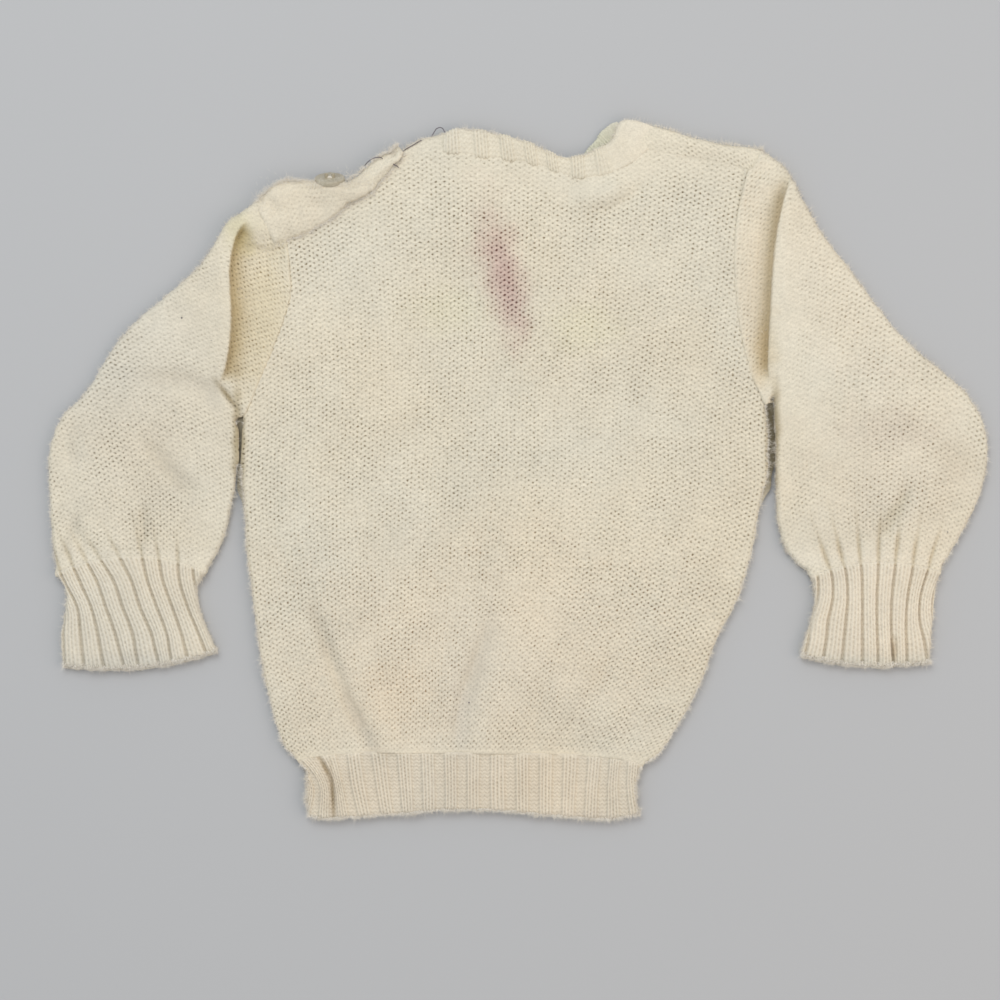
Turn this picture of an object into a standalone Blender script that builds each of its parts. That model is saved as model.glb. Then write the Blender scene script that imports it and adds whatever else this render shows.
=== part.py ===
# A baby's hand-knitted wool pullover with a buttoned left shoulder, laid flat with its back up.
# Frame: +Z up, +Y towards the neck, +X towards the wearer's right side, the table at Z = 0.
# Every table below is in millimetres; MM turns them into metres.

import math

import bpy
import bmesh
from mathutils import Matrix, Vector

MM = 0.001

# Driving dimensions
CLOTH = 2.4             # one layer of knitted cloth
SEAM_GAP = 0.45         # clearance between neighbouring pieces
LAYER_GAP = 0.3         # clearance between layers that lie on each other
HOLLOW_MAX = 3.4        # most air between the two layers of a sleeve
FOLD_RADIUS = 2.5       # rounding of a tube's flattened edges
FOLD_STEPS = 3          # points in that rounding
HOLLOW_RADIUS = 0.8     # rounding at the edges of the air space
TURN_STEPS = 5          # faces round a turned edge
TABLE_CLEARANCE = 0.03  # keeps the mitred turn of a thickened fold above the table
BACK_PUFF = 1.1         # how far the middle of the back lies off the front
PUFF_RINGS = 3          # grid steps from a panel's flat border to its full puff
HEM_SEAM_BOW = 4.5      # how far the middle of the hem's seam rises above its ends
SHARP_ANGLE = 50.0      # degrees; sharper edges are shaded as edges
BUTTON_RADIUS = 7.5
BUTTON_THICKNESS = 2.2
BUTTON_RIM = 0.5
BUTTON_HOLE_RADIUS = 0.9
BUTTON_HOLE_OFFSET = 1.7
BUTTON_TILT = 62.0      # degrees between the button's axis and straight up

UPPER_LAYER = CLOTH + LAYER_GAP     # underside of the back, which lies on the front

# Armhole seams, from the shoulder down to the underarm: x, y
LEFT_ARMHOLE = [
    (-126.0, 136.0), (-121.2, 125.0), (-116.5, 113.5), (-115.0, 100.0), (-114.5, 87.0), (-117.0, 77.0),
    (-121.0, 66.0), (-126.0, 54.5), (-130.5, 44.0), (-134.5, 34.0), (-137.5, 27.5)]
RIGHT_ARMHOLE = [
    (119.5, 158.5), (116.0, 150.0), (113.0, 139.0), (110.5, 127.5), (109.0, 112.5), (109.0, 97.5),
    (110.0, 84.0), (111.5, 71.0), (114.0, 59.0), (118.0, 46.5), (123.0, 36.5)]

# Side edges of the body, from the hem up to below the underarm: x, y
LEFT_SIDE = [
    (-110.0, -145.0), (-117.0, -139.5), (-122.0, -125.0), (-127.0, -105.0), (-130.0, -85.0),
    (-133.0, -65.0), (-136.0, -40.0), (-137.5, -15.0), (-138.5, 8.0)]
RIGHT_SIDE = [
    (62.5, -147.0), (70.0, -143.0), (81.0, -126.5), (92.5, -105.0), (99.5, -85.0), (110.0, -65.0),
    (118.0, -38.0), (121.8, -15.0), (125.5, 8.0)]

# Top edge of the back, left to right: the shoulder under the flap, the neck, the right shoulder seam
BACK_SHOULDER = [
    (-108.0, 129.5), (-96.0, 131.0), (-84.0, 136.0), (-73.0, 143.0), (-62.0, 152.0), (-50.0, 157.5)]
BACK_NECK = [
    (-36.0, 161.0), (-27.5, 159.8), (-18.0, 158.2), (-6.0, 156.5), (6.0, 154.8), (17.0, 152.0),
    (27.5, 148.5), (38.0, 147.5), (48.5, 151.0), (58.0, 157.5), (65.0, 160.0)]
RIGHT_SHOULDER_SEAM = [(79.0, 158.0), (92.0, 156.0), (105.0, 153.5)]
# Neck edge of the front, which is deeper; as many points as BACK_NECK
FRONT_NECK = [
    (-36.0, 159.5), (-33.0, 148.0), (-25.0, 137.0), (-13.0, 130.5), (2.0, 128.5), (17.0, 130.5),
    (31.0, 136.5), (42.0, 145.0), (51.0, 152.0), (58.5, 158.0), (65.0, 160.0)]
# Opening edges of the two neckbands, point for point with the necks they are knitted to
BACK_NECKBAND_EDGE = [
    (-36.0, 169.5), (-28.0, 170.0), (-16.0, 168.5), (-4.0, 166.0), (7.0, 162.0), (17.5, 158.0),
    (27.5, 156.5), (36.5, 157.5), (44.5, 162.5), (52.5, 170.5), (63.6, 172.3)]
FRONT_NECKBAND_EDGE = [
    (-29.0, 166.0), (-24.5, 153.5), (-18.5, 145.5), (-9.5, 140.0), (2.5, 138.0), (13.5, 140.0),
    (24.0, 145.5), (31.5, 156.0), (39.0, 165.5), (48.5, 175.25), (63.5, 172.3)]

# Hem rib: outer corners of its sides going down from the body, then its bottom edge left to right
HEM_LEFT = [(-106.5, -151.0), (-106.0, -162.0)]
HEM_RIGHT = [(60.5, -152.5), (59.0, -162.0)]
HEM_BOTTOM = [(-105.0, -173.5), (-95.5, -175.0), (-60.0, -172.6), (-37.5, -170.6), (-9.0, -171.0),
              (26.0, -174.0), (43.5, -175.5), (61.0, -172.5)]

# Sleeve and cuff sections across the tube. Each runs from its outer edge to its inner edge:
# outer x, outer y, inner x, inner y, how far the middle bows (x, y),
# then the height of the top layer at five places from the outer edge to the inner edge
LEFT_SLEEVE = [
    (-135.0, 131.5, -141.0, 33.0, 4.0, 0.0, 9.2, 7.6, 5.8, 5.8, 5.4),
    (-145.0, 124.5, -148.5, 42.0, 2.5, 0.0, 8.4, 10.2, 10.8, 10.2, 8.0),
    (-157.5, 105.0, -147.0, 38.0, 0.0, 0.0, 6.4, 9.2, 9.8, 9.2, 6.8),
    (-175.5, 88.0, -142.5, 30.0, 0.0, 0.0, 5.6, 7.8, 8.4, 8.0, 5.8),
    (-192.0, 74.0, -140.0, 20.0, 0.0, 0.0, 5.4, 7.4, 8.0, 7.6, 5.4),
    (-206.0, 56.5, -140.0, 7.5, 0.0, 0.0, 5.4, 7.4, 8.0, 7.6, 5.4),
    (-217.0, 38.5, -141.5, -6.0, 0.0, 0.0, 5.4, 7.2, 7.6, 7.4, 5.4),
    (-229.0, 26.0, -143.5, -17.5, 0.0, 0.0, 5.4, 6.8, 7.6, 7.6, 5.4),
    (-235.0, 9.0, -146.0, -28.5, 0.0, 0.0, 5.4, 7.4, 7.2, 7.8, 5.4),
    (-235.0, -10.0, -149.0, -38.0, 0.0, 2.0, 5.4, 7.8, 7.4, 7.8, 5.4),
    (-233.5, -32.5, -153.0, -45.0, 0.0, 4.0, 5.4, 7.6, 7.2, 7.6, 5.4),
    (-231.0, -50.5, -156.5, -49.5, 0.0, 7.0, 5.4, 6.6, 6.6, 6.6, 5.4)]
RIGHT_SLEEVE = [
    (126.0, 158.0, 126.0, 35.5, -1.0, 0.0, 8.2, 6.4, 5.8, 5.8, 5.4),
    (134.5, 151.0, 128.0, 37.0, 2.0, 0.0, 8.6, 10.2, 10.4, 9.2, 7.2),
    (144.0, 133.5, 128.5, 27.5, 1.0, 0.0, 6.6, 9.0, 9.4, 8.4, 6.0),
    (154.5, 116.0, 129.0, 15.0, 0.0, 0.0, 5.6, 7.8, 8.4, 7.8, 5.4),
    (166.0, 101.5, 129.0, 3.5, 0.0, 0.0, 5.4, 7.4, 8.2, 7.8, 5.4),
    (181.0, 81.0, 129.0, -7.5, 0.0, 0.0, 5.4, 7.4, 8.2, 7.6, 5.4),
    (197.0, 62.5, 129.5, -16.5, 0.0, 0.0, 5.4, 7.4, 8.2, 7.6, 5.4),
    (212.5, 50.0, 130.0, -24.0, 0.0, 0.0, 5.4, 7.4, 8.0, 7.6, 5.4),
    (228.0, 34.0, 131.5, -31.5, 0.0, 0.0, 5.4, 7.4, 7.8, 7.6, 5.4),
    (235.05, 17.0, 133.5, -38.0, 0.0, 0.0, 5.4, 7.6, 7.6, 7.6, 5.4),
    (233.5, -6.0, 136.5, -43.0, 0.0, 2.0, 5.4, 7.8, 7.4, 7.6, 5.4),
    (224.0, -28.0, 140.5, -47.0, 0.0, 4.0, 5.4, 7.4, 7.2, 7.4, 5.4),
    (211.0, -50.0, 147.0, -52.0, 0.0, 5.0, 5.4, 6.6, 6.6, 6.6, 5.4)]
LEFT_CUFF = [
    (-226.7, -60.5, -161.0, -58.0, 0.0, 5.0, 5.4, 6.2, 6.2, 6.2, 5.4),
    (-227.5, -71.5, -159.5, -69.0, 0.0, 3.0, 5.4, 6.0, 6.0, 6.0, 5.4),
    (-229.0, -84.5, -155.0, -81.0, 0.0, 0.0, 5.4, 6.0, 6.0, 6.0, 5.4),
    (-228.0, -98.5, -150.5, -91.0, 0.0, -4.0, 5.4, 6.2, 6.2, 6.2, 5.4)]
RIGHT_CUFF = [
    (209.0, -63.0, 149.0, -61.5, 0.0, 2.0, 5.4, 6.2, 6.2, 6.2, 5.4),
    (208.0, -74.5, 147.0, -75.0, 0.0, 0.0, 5.4, 6.0, 6.0, 6.0, 5.4),
    (207.0, -85.5, 143.5, -86.0, 0.0, -1.0, 5.4, 6.0, 6.0, 6.0, 5.4),
    (206.5, -96.5, 142.0, -93.5, 0.0, -3.0, 5.4, 6.2, 6.2, 6.2, 5.4)]
HEAD_TOPS = (8.6, 6.0, 5.4, 5.4, 5.4)

# Upper leg of cloth turned over a shoulder: share of the way to its free edge, share of its drop
TURNED_LEG = [(0.35, 0.5), (0.7, 1.0), (1.0, 1.0)]
# Cloth turned over the shoulders, in sections along the shoulder line:
# outline x, y; free edge on top x, y; underside height of the upper leg at the turn and at its edge
FLAP = [
    (-124.0, 137.0, -114.8, 115.5, 7.4, 5.4), (-117.5, 142.0, -108.0, 119.5, 8.0, 5.4),
    (-109.5, 144.5, -101.0, 121.5, 8.0, 5.4), (-101.5, 143.5, -93.0, 126.5, 8.0, 5.4),
    (-93.6, 143.4, -87.5, 132.0, 8.0, 5.4), (-86.0, 143.5, -79.0, 135.5, 7.8, 5.4),
    (-80.5, 147.5, -74.5, 139.0, 7.4, 5.4), (-75.0, 152.5, -70.5, 144.0, 7.0, 5.4),
    (-69.5, 155.5, -66.5, 148.5, 6.6, 5.4), (-64.0, 159.5, -61.5, 152.8, 6.4, 5.4)]
TURNED_SHOULDER = [
    (64.5, 172.0, 65.0, 160.0, 4.2, 2.7), (77.0, 170.0, 79.0, 158.0, 4.2, 2.7),
    (90.0, 164.5, 92.0, 156.0, 4.0, 2.7), (103.0, 161.0, 105.0, 153.5, 4.0, 2.7),
    (118.0, 159.3, 116.0, 150.0, 4.0, 2.7)]
# Outer edge of the button band, point for point from the second point of BACK_SHOULDER to the neck
BUTTON_BAND_EDGE = [
    (-98.0, 136.9), (-86.0, 137.4), (-74.4, 145.0), (-64.3, 152.8), (-53.0, 163.8), (-37.5, 168.5)]

BUTTON_PLACE = (-94.0, 145.05, 7.6)

# Broad soft folds that lift the back off the front: x, y, direction in degrees, length, width, height
BACK_FOLDS = [
    (-60.0, -118.0, 100.0, 60.0, 16.0, 0.9),
    (-5.0, -122.0, 84.0, 66.0, 18.0, 1.0),
    (48.0, -110.0, 70.0, 70.0, 16.0, 0.8),
    (-92.0, -60.0, 95.0, 90.0, 20.0, 0.6),
    (78.0, -20.0, 80.0, 110.0, 22.0, 0.6),
    (35.0, 132.0, 20.0, 46.0, 12.0, 1.3),
    (-40.0, 70.0, 150.0, 100.0, 26.0, 0.6)]

COLOURS = {
    "cream_wool": ((0.72, 0.65, 0.50), 0.95),
    "cream_rib": ((0.74, 0.67, 0.52), 0.95),
    "button_plastic": ((0.55, 0.50, 0.40), 0.35)}


def clear_scene():
    for thing in list(bpy.data.objects):
        bpy.data.objects.remove(thing)


def material(slot):
    colour, roughness = COLOURS[slot]
    made = bpy.data.materials.get(slot) or bpy.data.materials.new(slot)
    made.use_nodes = True
    shader = made.node_tree.nodes["Principled BSDF"]
    shader.inputs["Base Color"].default_value = (*colour, 1.0)
    shader.inputs["Roughness"].default_value = roughness
    shader.inputs["Metallic"].default_value = 0.0
    return made


def object_from(name, work, slot, folder):
    # turns a worked mesh into an object with its material
    mesh = bpy.data.meshes.new(name)
    work.to_mesh(mesh)
    work.free()
    mesh.shade_smooth()
    mesh.set_sharp_from_angle(angle=math.radians(SHARP_ANGLE))
    made = bpy.data.objects.new(name, mesh)
    made.data.materials.append(material(slot))
    folder.objects.link(made)
    return made


def sheet(name, rows, slot, folder):
    # a grid laid on the cloth's inner side, thickened outwards to one layer of cloth
    work = bmesh.new()
    bmesh.ops.create_grid(work, x_segments=len(rows[0]) - 1, y_segments=len(rows) - 1, size=1.0)
    for corner, point in zip(work.verts, [point for row in rows for point in row]):
        corner.co = Vector(point) * MM
    made = object_from(name, work, slot, folder)
    wall = made.modifiers.new("cloth", "SOLIDIFY")
    wall.thickness = CLOTH * MM
    wall.offset = 1.0
    wall.use_even_offset = True
    return made


def blend(heights, share):
    # a smooth value between evenly spaced heights
    place = min(max(share, 0.0), 1.0) * (len(heights) - 1)
    index = min(int(place), len(heights) - 2)
    part = place - index
    return heights[index] + (heights[index + 1] - heights[index]) * (0.5 - 0.5 * math.cos(math.pi * part))


def along(points, count):
    # evenly spaced points on a short outline of straight runs
    spots = [Vector(point) for point in points]
    lengths = [(b - a).length for a, b in zip(spots, spots[1:])]
    total = sum(lengths)
    found = []
    for k in range(count):
        left = total * k / (count - 1)
        run = 0
        while run < len(lengths) - 1 and left > lengths[run]:
            left -= lengths[run]
            run += 1
        found.append(spots[run].lerp(spots[run + 1], min(left / lengths[run], 1.0)))
    return found


def patch(left, right, bottom, top):
    # rows of points filled in between four edges, as a Coons patch
    last_row = len(left) - 1
    last_column = len(bottom) - 1
    rows = []
    for j in range(last_row + 1):
        v = j / last_row
        row = []
        for i in range(last_column + 1):
            u = i / last_column
            sides = left[j] * (1 - u) + right[j] * u
            ends = bottom[i] * (1 - v) + top[i] * v
            corners = (left[0] * (1 - u) + right[0] * u) * (1 - v) + (left[-1] * (1 - u) + right[-1] * u) * v
            row.append(sides + ends - corners)
        rows.append(row)
    return rows


def vectors(points):
    return [Vector(point) for point in points]


def fold_height(x, y):
    height = 0.0
    for fold_x, fold_y, direction, length, width, rise in BACK_FOLDS:
        turn = math.radians(direction)
        run = (x - fold_x) * math.cos(turn) + (y - fold_y) * math.sin(turn)
        side = (y - fold_y) * math.cos(turn) - (x - fold_x) * math.sin(turn)
        height += rise * math.exp(-(2 * run / length) ** 2 - (side / width) ** 2)
    return height


def edge_fade(i, j, columns, rows):
    # 0 on the border of a panel and one step in, which keeps its rim upright, and 1 further inside
    steps = min(i, j, columns - 1 - i, rows - 1 - j)
    share = min(max(steps - 1, 0) / PUFF_RINGS, 1.0)
    return 0.5 - 0.5 * math.cos(math.pi * share)


def body_edges():
    left = vectors(LEFT_SIDE) + vectors(LEFT_ARMHOLE[:0:-1])
    right = vectors(RIGHT_SIDE) + vectors(RIGHT_ARMHOLE[:0:-1])
    columns = len(BACK_SHOULDER) + len(BACK_NECK) + len(RIGHT_SHOULDER_SEAM) + 2
    bottom = []
    for i in range(columns):
        u = i / (columns - 1)
        spot = left[0].lerp(right[0], u)
        bottom.append(spot + Vector((0.0, HEM_SEAM_BOW * (1 - (2 * u - 1) ** 6))))
    return left, right, bottom


def body_top(neck):
    return (vectors([LEFT_ARMHOLE[1]]) + vectors(BACK_SHOULDER) + vectors(neck)
            + vectors(RIGHT_SHOULDER_SEAM) + vectors([RIGHT_ARMHOLE[1]]))


def make_back(folder):
    left, right, bottom = body_edges()
    flat = patch(left, right, bottom, body_top(BACK_NECK))
    rows = []
    for j, line in enumerate(flat):
        row = []
        for i, spot in enumerate(line):
            lift = (BACK_PUFF + fold_height(spot.x, spot.y)) * edge_fade(i, j, len(line), len(flat))
            row.append((spot.x, spot.y, UPPER_LAYER + lift))
        rows.append(row)
    return sheet("back_panel", rows, "cream_wool", folder)


def make_front(folder):
    left, right, bottom = body_edges()
    flat = patch(left, right, bottom, body_top(FRONT_NECK))
    rows = [[(spot.x, spot.y, 0.0) for spot in line] for line in flat]
    return sheet("front_panel", rows, "cream_wool", folder)


def make_hem(name, underside, folder):
    bottom_of_body = body_edges()[2]
    top = [spot - Vector((0.0, SEAM_GAP)) for spot in bottom_of_body]
    columns = len(top)
    bottom = along(HEM_BOTTOM, columns)
    left = [bottom[0]] + vectors(HEM_LEFT[::-1]) + [top[0]]
    right = [bottom[-1]] + vectors(HEM_RIGHT[::-1]) + [top[-1]]
    flat = patch(left, right, bottom, top)
    rows = [[(spot.x, spot.y, underside) for spot in line] for line in flat]
    return sheet(name, rows, "cream_rib", folder)


def section_path(section, count):
    # points across a tube, set in from its two edges by the fold's rounding
    outer = Vector(section[0:2])
    inner = Vector(section[2:4])
    bow = Vector(section[4:6])
    across = (inner - outer).normalized()
    start = outer + across * FOLD_RADIUS
    end = inner - across * FOLD_RADIUS
    points = []
    for k in range(count):
        share = k / (count - 1)
        points.append(start.lerp(end, share) + bow * (4 * share * (1 - share)))
    return points


def fold_round(centre, outward, radius, low, high, rising):
    # points round the edge of a flattened tube, between its layers
    middle = (low + high) / 2
    half = (high - low) / 2
    points = []
    for k in range(1, FOLD_STEPS + 1):
        turn = math.pi * k / (FOLD_STEPS + 1)
        if rising:
            turn = math.pi - turn
        spot = centre + outward * (radius * math.sin(turn))
        points.append((spot.x, spot.y, middle + half * math.cos(turn)))
    return points


def section_loop(points, lows, highs, radius):
    # a closed loop round a flattened tube: along the top, round, back along the bottom, round
    first_out = (points[0] - points[1]).normalized()
    last_out = (points[-1] - points[-2]).normalized()
    loop = [(spot.x, spot.y, high) for spot, high in zip(points, highs)]
    loop += fold_round(points[-1], last_out, radius, lows[-1], highs[-1], False)
    loop += [(spot.x, spot.y, low) for spot, low in zip(reversed(points), reversed(lows))]
    loop += fold_round(points[0], first_out, radius, lows[0], highs[0], True)
    return loop


def tube(name, sections, slot, folder):
    # sections: (path points, five top heights); a wall of cloth round a thin air space, open at both ends
    outer_loops = []
    inner_loops = []
    for points, tops in sections:
        count = len(points)
        highs = [blend(tops, k / (count - 1)) for k in range(count)]
        outer_loops.append(section_loop(points, [0.0] * count, highs, FOLD_RADIUS))
        inset = FOLD_RADIUS - CLOTH - HOLLOW_RADIUS
        hollow = list(points)
        hollow[0] = points[0] + (points[0] - points[1]).normalized() * inset
        hollow[-1] = points[-1] + (points[-1] - points[-2]).normalized() * inset
        roofs = [min(high - CLOTH, CLOTH + HOLLOW_MAX) for high in highs]
        inner_loops.append(section_loop(hollow, [CLOTH] * count, roofs, HOLLOW_RADIUS))
    work = bmesh.new()
    loops = [[work.verts.new(Vector(point) * MM) for point in loop]
             for loop in outer_loops + inner_loops[::-1]]
    for loop, following in zip(loops, loops[1:] + loops[:1]):
        for i in range(len(loop)):
            work.faces.new((loop[i - 1], loop[i], following[i], following[i - 1]))
    bmesh.ops.recalc_face_normals(work, faces=work.faces)
    return object_from(name, work, slot, folder)


def make_sleeve(name, armhole, head_tops, table, seam_side, folder):
    # seam_side is the direction away from the body, which opens the seam's gap
    seam = [spot + Vector((seam_side * SEAM_GAP, 0.0)) for spot in vectors(armhole)]
    count = len(seam)
    sections = [(seam, head_tops)]
    sections += [(section_path(row, count), row[6:]) for row in table]
    return tube(name, sections, "cream_wool", folder)


def make_cuff(name, last_sleeve_row, table, folder):
    count = len(LEFT_ARMHOLE)
    top = [spot - Vector((0.0, SEAM_GAP)) for spot in section_path(last_sleeve_row, count)]
    sections = [(top, last_sleeve_row[6:])]
    sections += [(section_path(row, count), row[6:]) for row in table]
    return tube(name, sections, "cream_rib", folder)


def make_neckband(name, neck, opening_edge, underside, folder):
    # from the neck edge, past a middle line, to the edge of the opening
    rows = []
    ends = (Vector((SEAM_GAP, 0.0)), Vector((-SEAM_GAP, 0.0)))
    for share in (0.0, 0.5, 1.0):
        row = []
        for i, (low, high) in enumerate(zip(vectors(neck), vectors(opening_edge))):
            out = (high - low).normalized()
            spot = (low + out * SEAM_GAP).lerp(high, share)
            if i == 0:
                spot = spot + ends[0]
            if i == len(neck) - 1:
                spot = spot + ends[1]
            row.append((spot.x, spot.y, underside))
        rows.append(row)
    return sheet(name, rows, "cream_rib", folder)


def turned_profile(outline, edge, lower_edge, turn_height, edge_height):
    # cloth that comes up from the table, round the outline and back over to its free edge
    inward = (edge - outline).normalized()
    low = CLOTH + TABLE_CLEARANCE
    radius = (turn_height - low) / 2
    centre = outline + inward * (radius + CLOTH)
    points = [(lower_edge.x, lower_edge.y, low)]
    for k in range(TURN_STEPS + 1):
        turn = math.pi * k / TURN_STEPS
        spot = centre - inward * (radius * math.sin(turn))
        points.append((spot.x, spot.y, low + radius - radius * math.cos(turn)))
    for share, drop in TURNED_LEG:
        spot = centre.lerp(edge, share)
        points.append((spot.x, spot.y, turn_height + (edge_height - turn_height) * drop))
    return points


def make_turned(name, table, lower_edges, edge_gap, folder):
    rows = []
    for row, lower in zip(table, lower_edges):
        outline = Vector(row[0:2])
        edge = Vector(row[2:4])
        out = (outline - edge).normalized()
        rows.append(turned_profile(outline, edge + out * edge_gap, lower + out * SEAM_GAP, row[4], row[5]))
    return sheet(name, rows, "cream_wool", folder)


def make_flap(folder):
    # its lower leg starts at the front's shoulder edge
    lower = along(LEFT_ARMHOLE[1:2] + BACK_SHOULDER[:-1], len(FLAP))
    return make_turned("buttonhole_band", FLAP, lower, 0.0, folder)


def make_turned_shoulder(folder):
    lower = vectors([row[2:4] for row in TURNED_SHOULDER])
    return make_turned("front_right_shoulder", TURNED_SHOULDER, lower, SEAM_GAP, folder)


def make_button_band(folder):
    inner = vectors(BACK_SHOULDER[1:]) + vectors(BACK_NECK[:1])
    rows = []
    for share in (0.0, 1.0):
        row = []
        for i, (low, high) in enumerate(zip(inner, vectors(BUTTON_BAND_EDGE))):
            out = (high - low).normalized()
            spot = (low + out * SEAM_GAP).lerp(high, share)
            row.append((spot.x, spot.y, UPPER_LAYER))
        rows.append(row)
    return sheet("button_band", rows, "cream_rib", folder)


def round_bar(radius, length, segments):
    work = bmesh.new()
    bmesh.ops.create_cone(work, cap_ends=True, segments=segments, radius1=radius * MM,
                          radius2=radius * MM, depth=length * MM)
    return work


def make_button(folder, cutters):
    # a two-hole disc that leans on the turned shoulder
    tilt = Matrix.Rotation(math.radians(-BUTTON_TILT), 4, "X")
    place = Matrix.Translation(Vector(BUTTON_PLACE) * MM) @ tilt
    disc = round_bar(BUTTON_RADIUS, BUTTON_THICKNESS, 32)
    button = object_from("shoulder_button", disc, "button_plastic", folder)
    button.matrix_world = place
    rim = button.modifiers.new("rounded rim", "BEVEL")
    rim.width = BUTTON_RIM * MM
    rim.segments = 2
    rim.limit_method = "ANGLE"
    for side in (-1, 1):
        bar = round_bar(BUTTON_HOLE_RADIUS, 3 * BUTTON_THICKNESS, 12)
        hole = object_from("thread_hole", bar, "button_plastic", cutters)
        hole.matrix_world = place @ Matrix.Translation((side * BUTTON_HOLE_OFFSET * MM, 0.0, 0.0))
        hole.hide_render = True
        hole.display_type = "WIRE"
        cut = button.modifiers.new("thread hole", "BOOLEAN")
        cut.operation = "DIFFERENCE"
        cut.solver = "EXACT"
        cut.object = hole


def main():
    clear_scene()
    folder = bpy.data.collections.new("wool_sweater")
    cutters = bpy.data.collections.new("cutters")
    bpy.context.scene.collection.children.link(folder)
    bpy.context.scene.collection.children.link(cutters)
    make_front(folder)
    make_back(folder)
    make_hem("front_hem_rib", 0.0, folder)
    make_hem("back_hem_rib", UPPER_LAYER, folder)
    make_sleeve("left_sleeve", LEFT_ARMHOLE, HEAD_TOPS, LEFT_SLEEVE, -1, folder)
    make_sleeve("right_sleeve", RIGHT_ARMHOLE, HEAD_TOPS, RIGHT_SLEEVE, 1, folder)
    make_cuff("left_cuff", LEFT_SLEEVE[-1], LEFT_CUFF, folder)
    make_cuff("right_cuff", RIGHT_SLEEVE[-1], RIGHT_CUFF, folder)
    make_neckband("front_neckband", FRONT_NECK, FRONT_NECKBAND_EDGE, 0.0, folder)
    make_neckband("back_neckband", BACK_NECK, BACK_NECKBAND_EDGE, UPPER_LAYER, folder)
    make_turned_shoulder(folder)
    make_flap(folder)
    make_button_band(folder)
    make_button(folder, cutters)


main()
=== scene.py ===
# Baby's hand-knitted wool pullover, laid flat with its back up and its left shoulder turned over.
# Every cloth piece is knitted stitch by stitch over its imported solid. Lengths are in millimetres.
import math
import bmesh
import bpy
import numpy as np
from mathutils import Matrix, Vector
from mathutils.bvhtree import BVHTree


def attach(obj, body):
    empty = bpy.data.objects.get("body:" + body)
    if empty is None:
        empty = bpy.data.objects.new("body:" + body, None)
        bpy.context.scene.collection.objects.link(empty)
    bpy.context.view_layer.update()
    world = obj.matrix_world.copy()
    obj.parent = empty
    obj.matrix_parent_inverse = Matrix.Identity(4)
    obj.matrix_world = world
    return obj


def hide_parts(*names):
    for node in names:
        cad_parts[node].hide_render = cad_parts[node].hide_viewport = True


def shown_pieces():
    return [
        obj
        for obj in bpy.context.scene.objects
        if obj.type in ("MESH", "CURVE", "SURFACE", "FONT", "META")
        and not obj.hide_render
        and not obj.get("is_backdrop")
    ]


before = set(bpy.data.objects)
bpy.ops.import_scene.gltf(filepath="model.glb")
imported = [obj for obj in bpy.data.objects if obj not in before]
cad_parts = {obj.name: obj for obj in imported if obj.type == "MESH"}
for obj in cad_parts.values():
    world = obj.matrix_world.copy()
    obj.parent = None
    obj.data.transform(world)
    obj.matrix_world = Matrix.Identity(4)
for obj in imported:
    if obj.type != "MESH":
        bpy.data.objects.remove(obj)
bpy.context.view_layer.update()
mm = 0.001
print("frame loaded,", len(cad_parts), "nodes")

cloth = {
    "wall": 2.0,             # one layer of knitting
    "foldRadius": 2.4,       # rounding where a tube or the body is folded flat
    "seamRadius": 1.7,       # rounding down into a seam
    "seamGroove": 0.5,       # how deep a sewn seam lies
    "seamReach": 0.5,        # how far a piece runs into its seam
    "joinReach": 0.7,        # the same where it is knitted straight on
    "outlineStep": 1.5,      # spacing of points on a smoothed outline
    "cornerTurn": 32.0,      # degrees; sharper turns of an outline stay corners
    "edgeWobble": 0.3,       # unevenness of a hand-knitted edge
    "seamWithin": 2.0,       # an edge this near another piece is joined to it
    "heightStep": 1.5,       # spacing of the heights read from a solid
    "fineStep": 0.05,        # step for slopes, in stitches
    "waleWidth": 4.0,
    "rowHeight": 2.5,
    "stillRim": 0.6,         # corners this near an edge stay on their stitch
    "blend": 1.2,            # how wide a join is evened out, where a piece doesn't say
    "lowest": 0.02}          # no cloth goes below this
farAway = 1e9


def smoothStep(low, high, value):
    share = np.clip((value - low) / (high - low), 0, 1)
    return share * share * (3 - 2 * share)


def blend(table, i, j, s, t):  # a value between four neighbours in a table
    nextI, nextJ = (i + 1) % table.shape[0], (j + 1) % table.shape[1]
    low = table[i, j] * (1 - s) + table[nextI, j] * s
    high = table[i, nextJ] * (1 - s) + table[nextI, nextJ] * s
    return low * (1 - t) + high * t


def spreadNoise(x, y, size, seed):  # smooth noise from -1 to 1, one bump every size mm
    cells = 128
    table = np.random.default_rng(seed).uniform(-1, 1, (cells, cells))
    u = np.asarray(x) / size + 40.3
    v = np.asarray(y) / size + 40.7
    i = np.floor(u).astype(int)
    j = np.floor(v).astype(int)
    return blend(table, i % cells, j % cells, smoothStep(0, 1, u - i), smoothStep(0, 1, v - j))


def turnOf(a, b):  # positive where b points to the left of a
    return a[:, 0] * b[:, 1] - a[:, 1] * b[:, 0]


def splineWeights(knots, places):  # how much each knot counts at each place on a smooth curve
    knots = np.asarray(knots, float)
    places = np.asarray(places, float)
    eye = np.eye(len(knots))
    step = np.diff(knots)
    slope = np.diff(eye, axis=0) / step[:, None]
    tangent = np.vstack([slope[:1], (slope[1:] + slope[:-1]) / 2, slope[-1:]])
    k = np.clip(np.searchsorted(knots, places) - 1, 0, len(step) - 1)
    share = (places - knots[k]) / step[k]
    t = np.clip(share, 0, 1)[:, None]
    run = step[k][:, None]
    curve = (2 * t**3 - 3 * t**2 + 1) * eye[k] + (t**3 - 2 * t**2 + t) * run * tangent[k]
    curve += (3 * t**2 - 2 * t**3) * eye[k + 1] + (t**3 - t**2) * run * tangent[k + 1]
    past = (share[:, None] - t) * run
    return curve + past * np.where(past > 0, tangent[k + 1], tangent[k])


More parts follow.
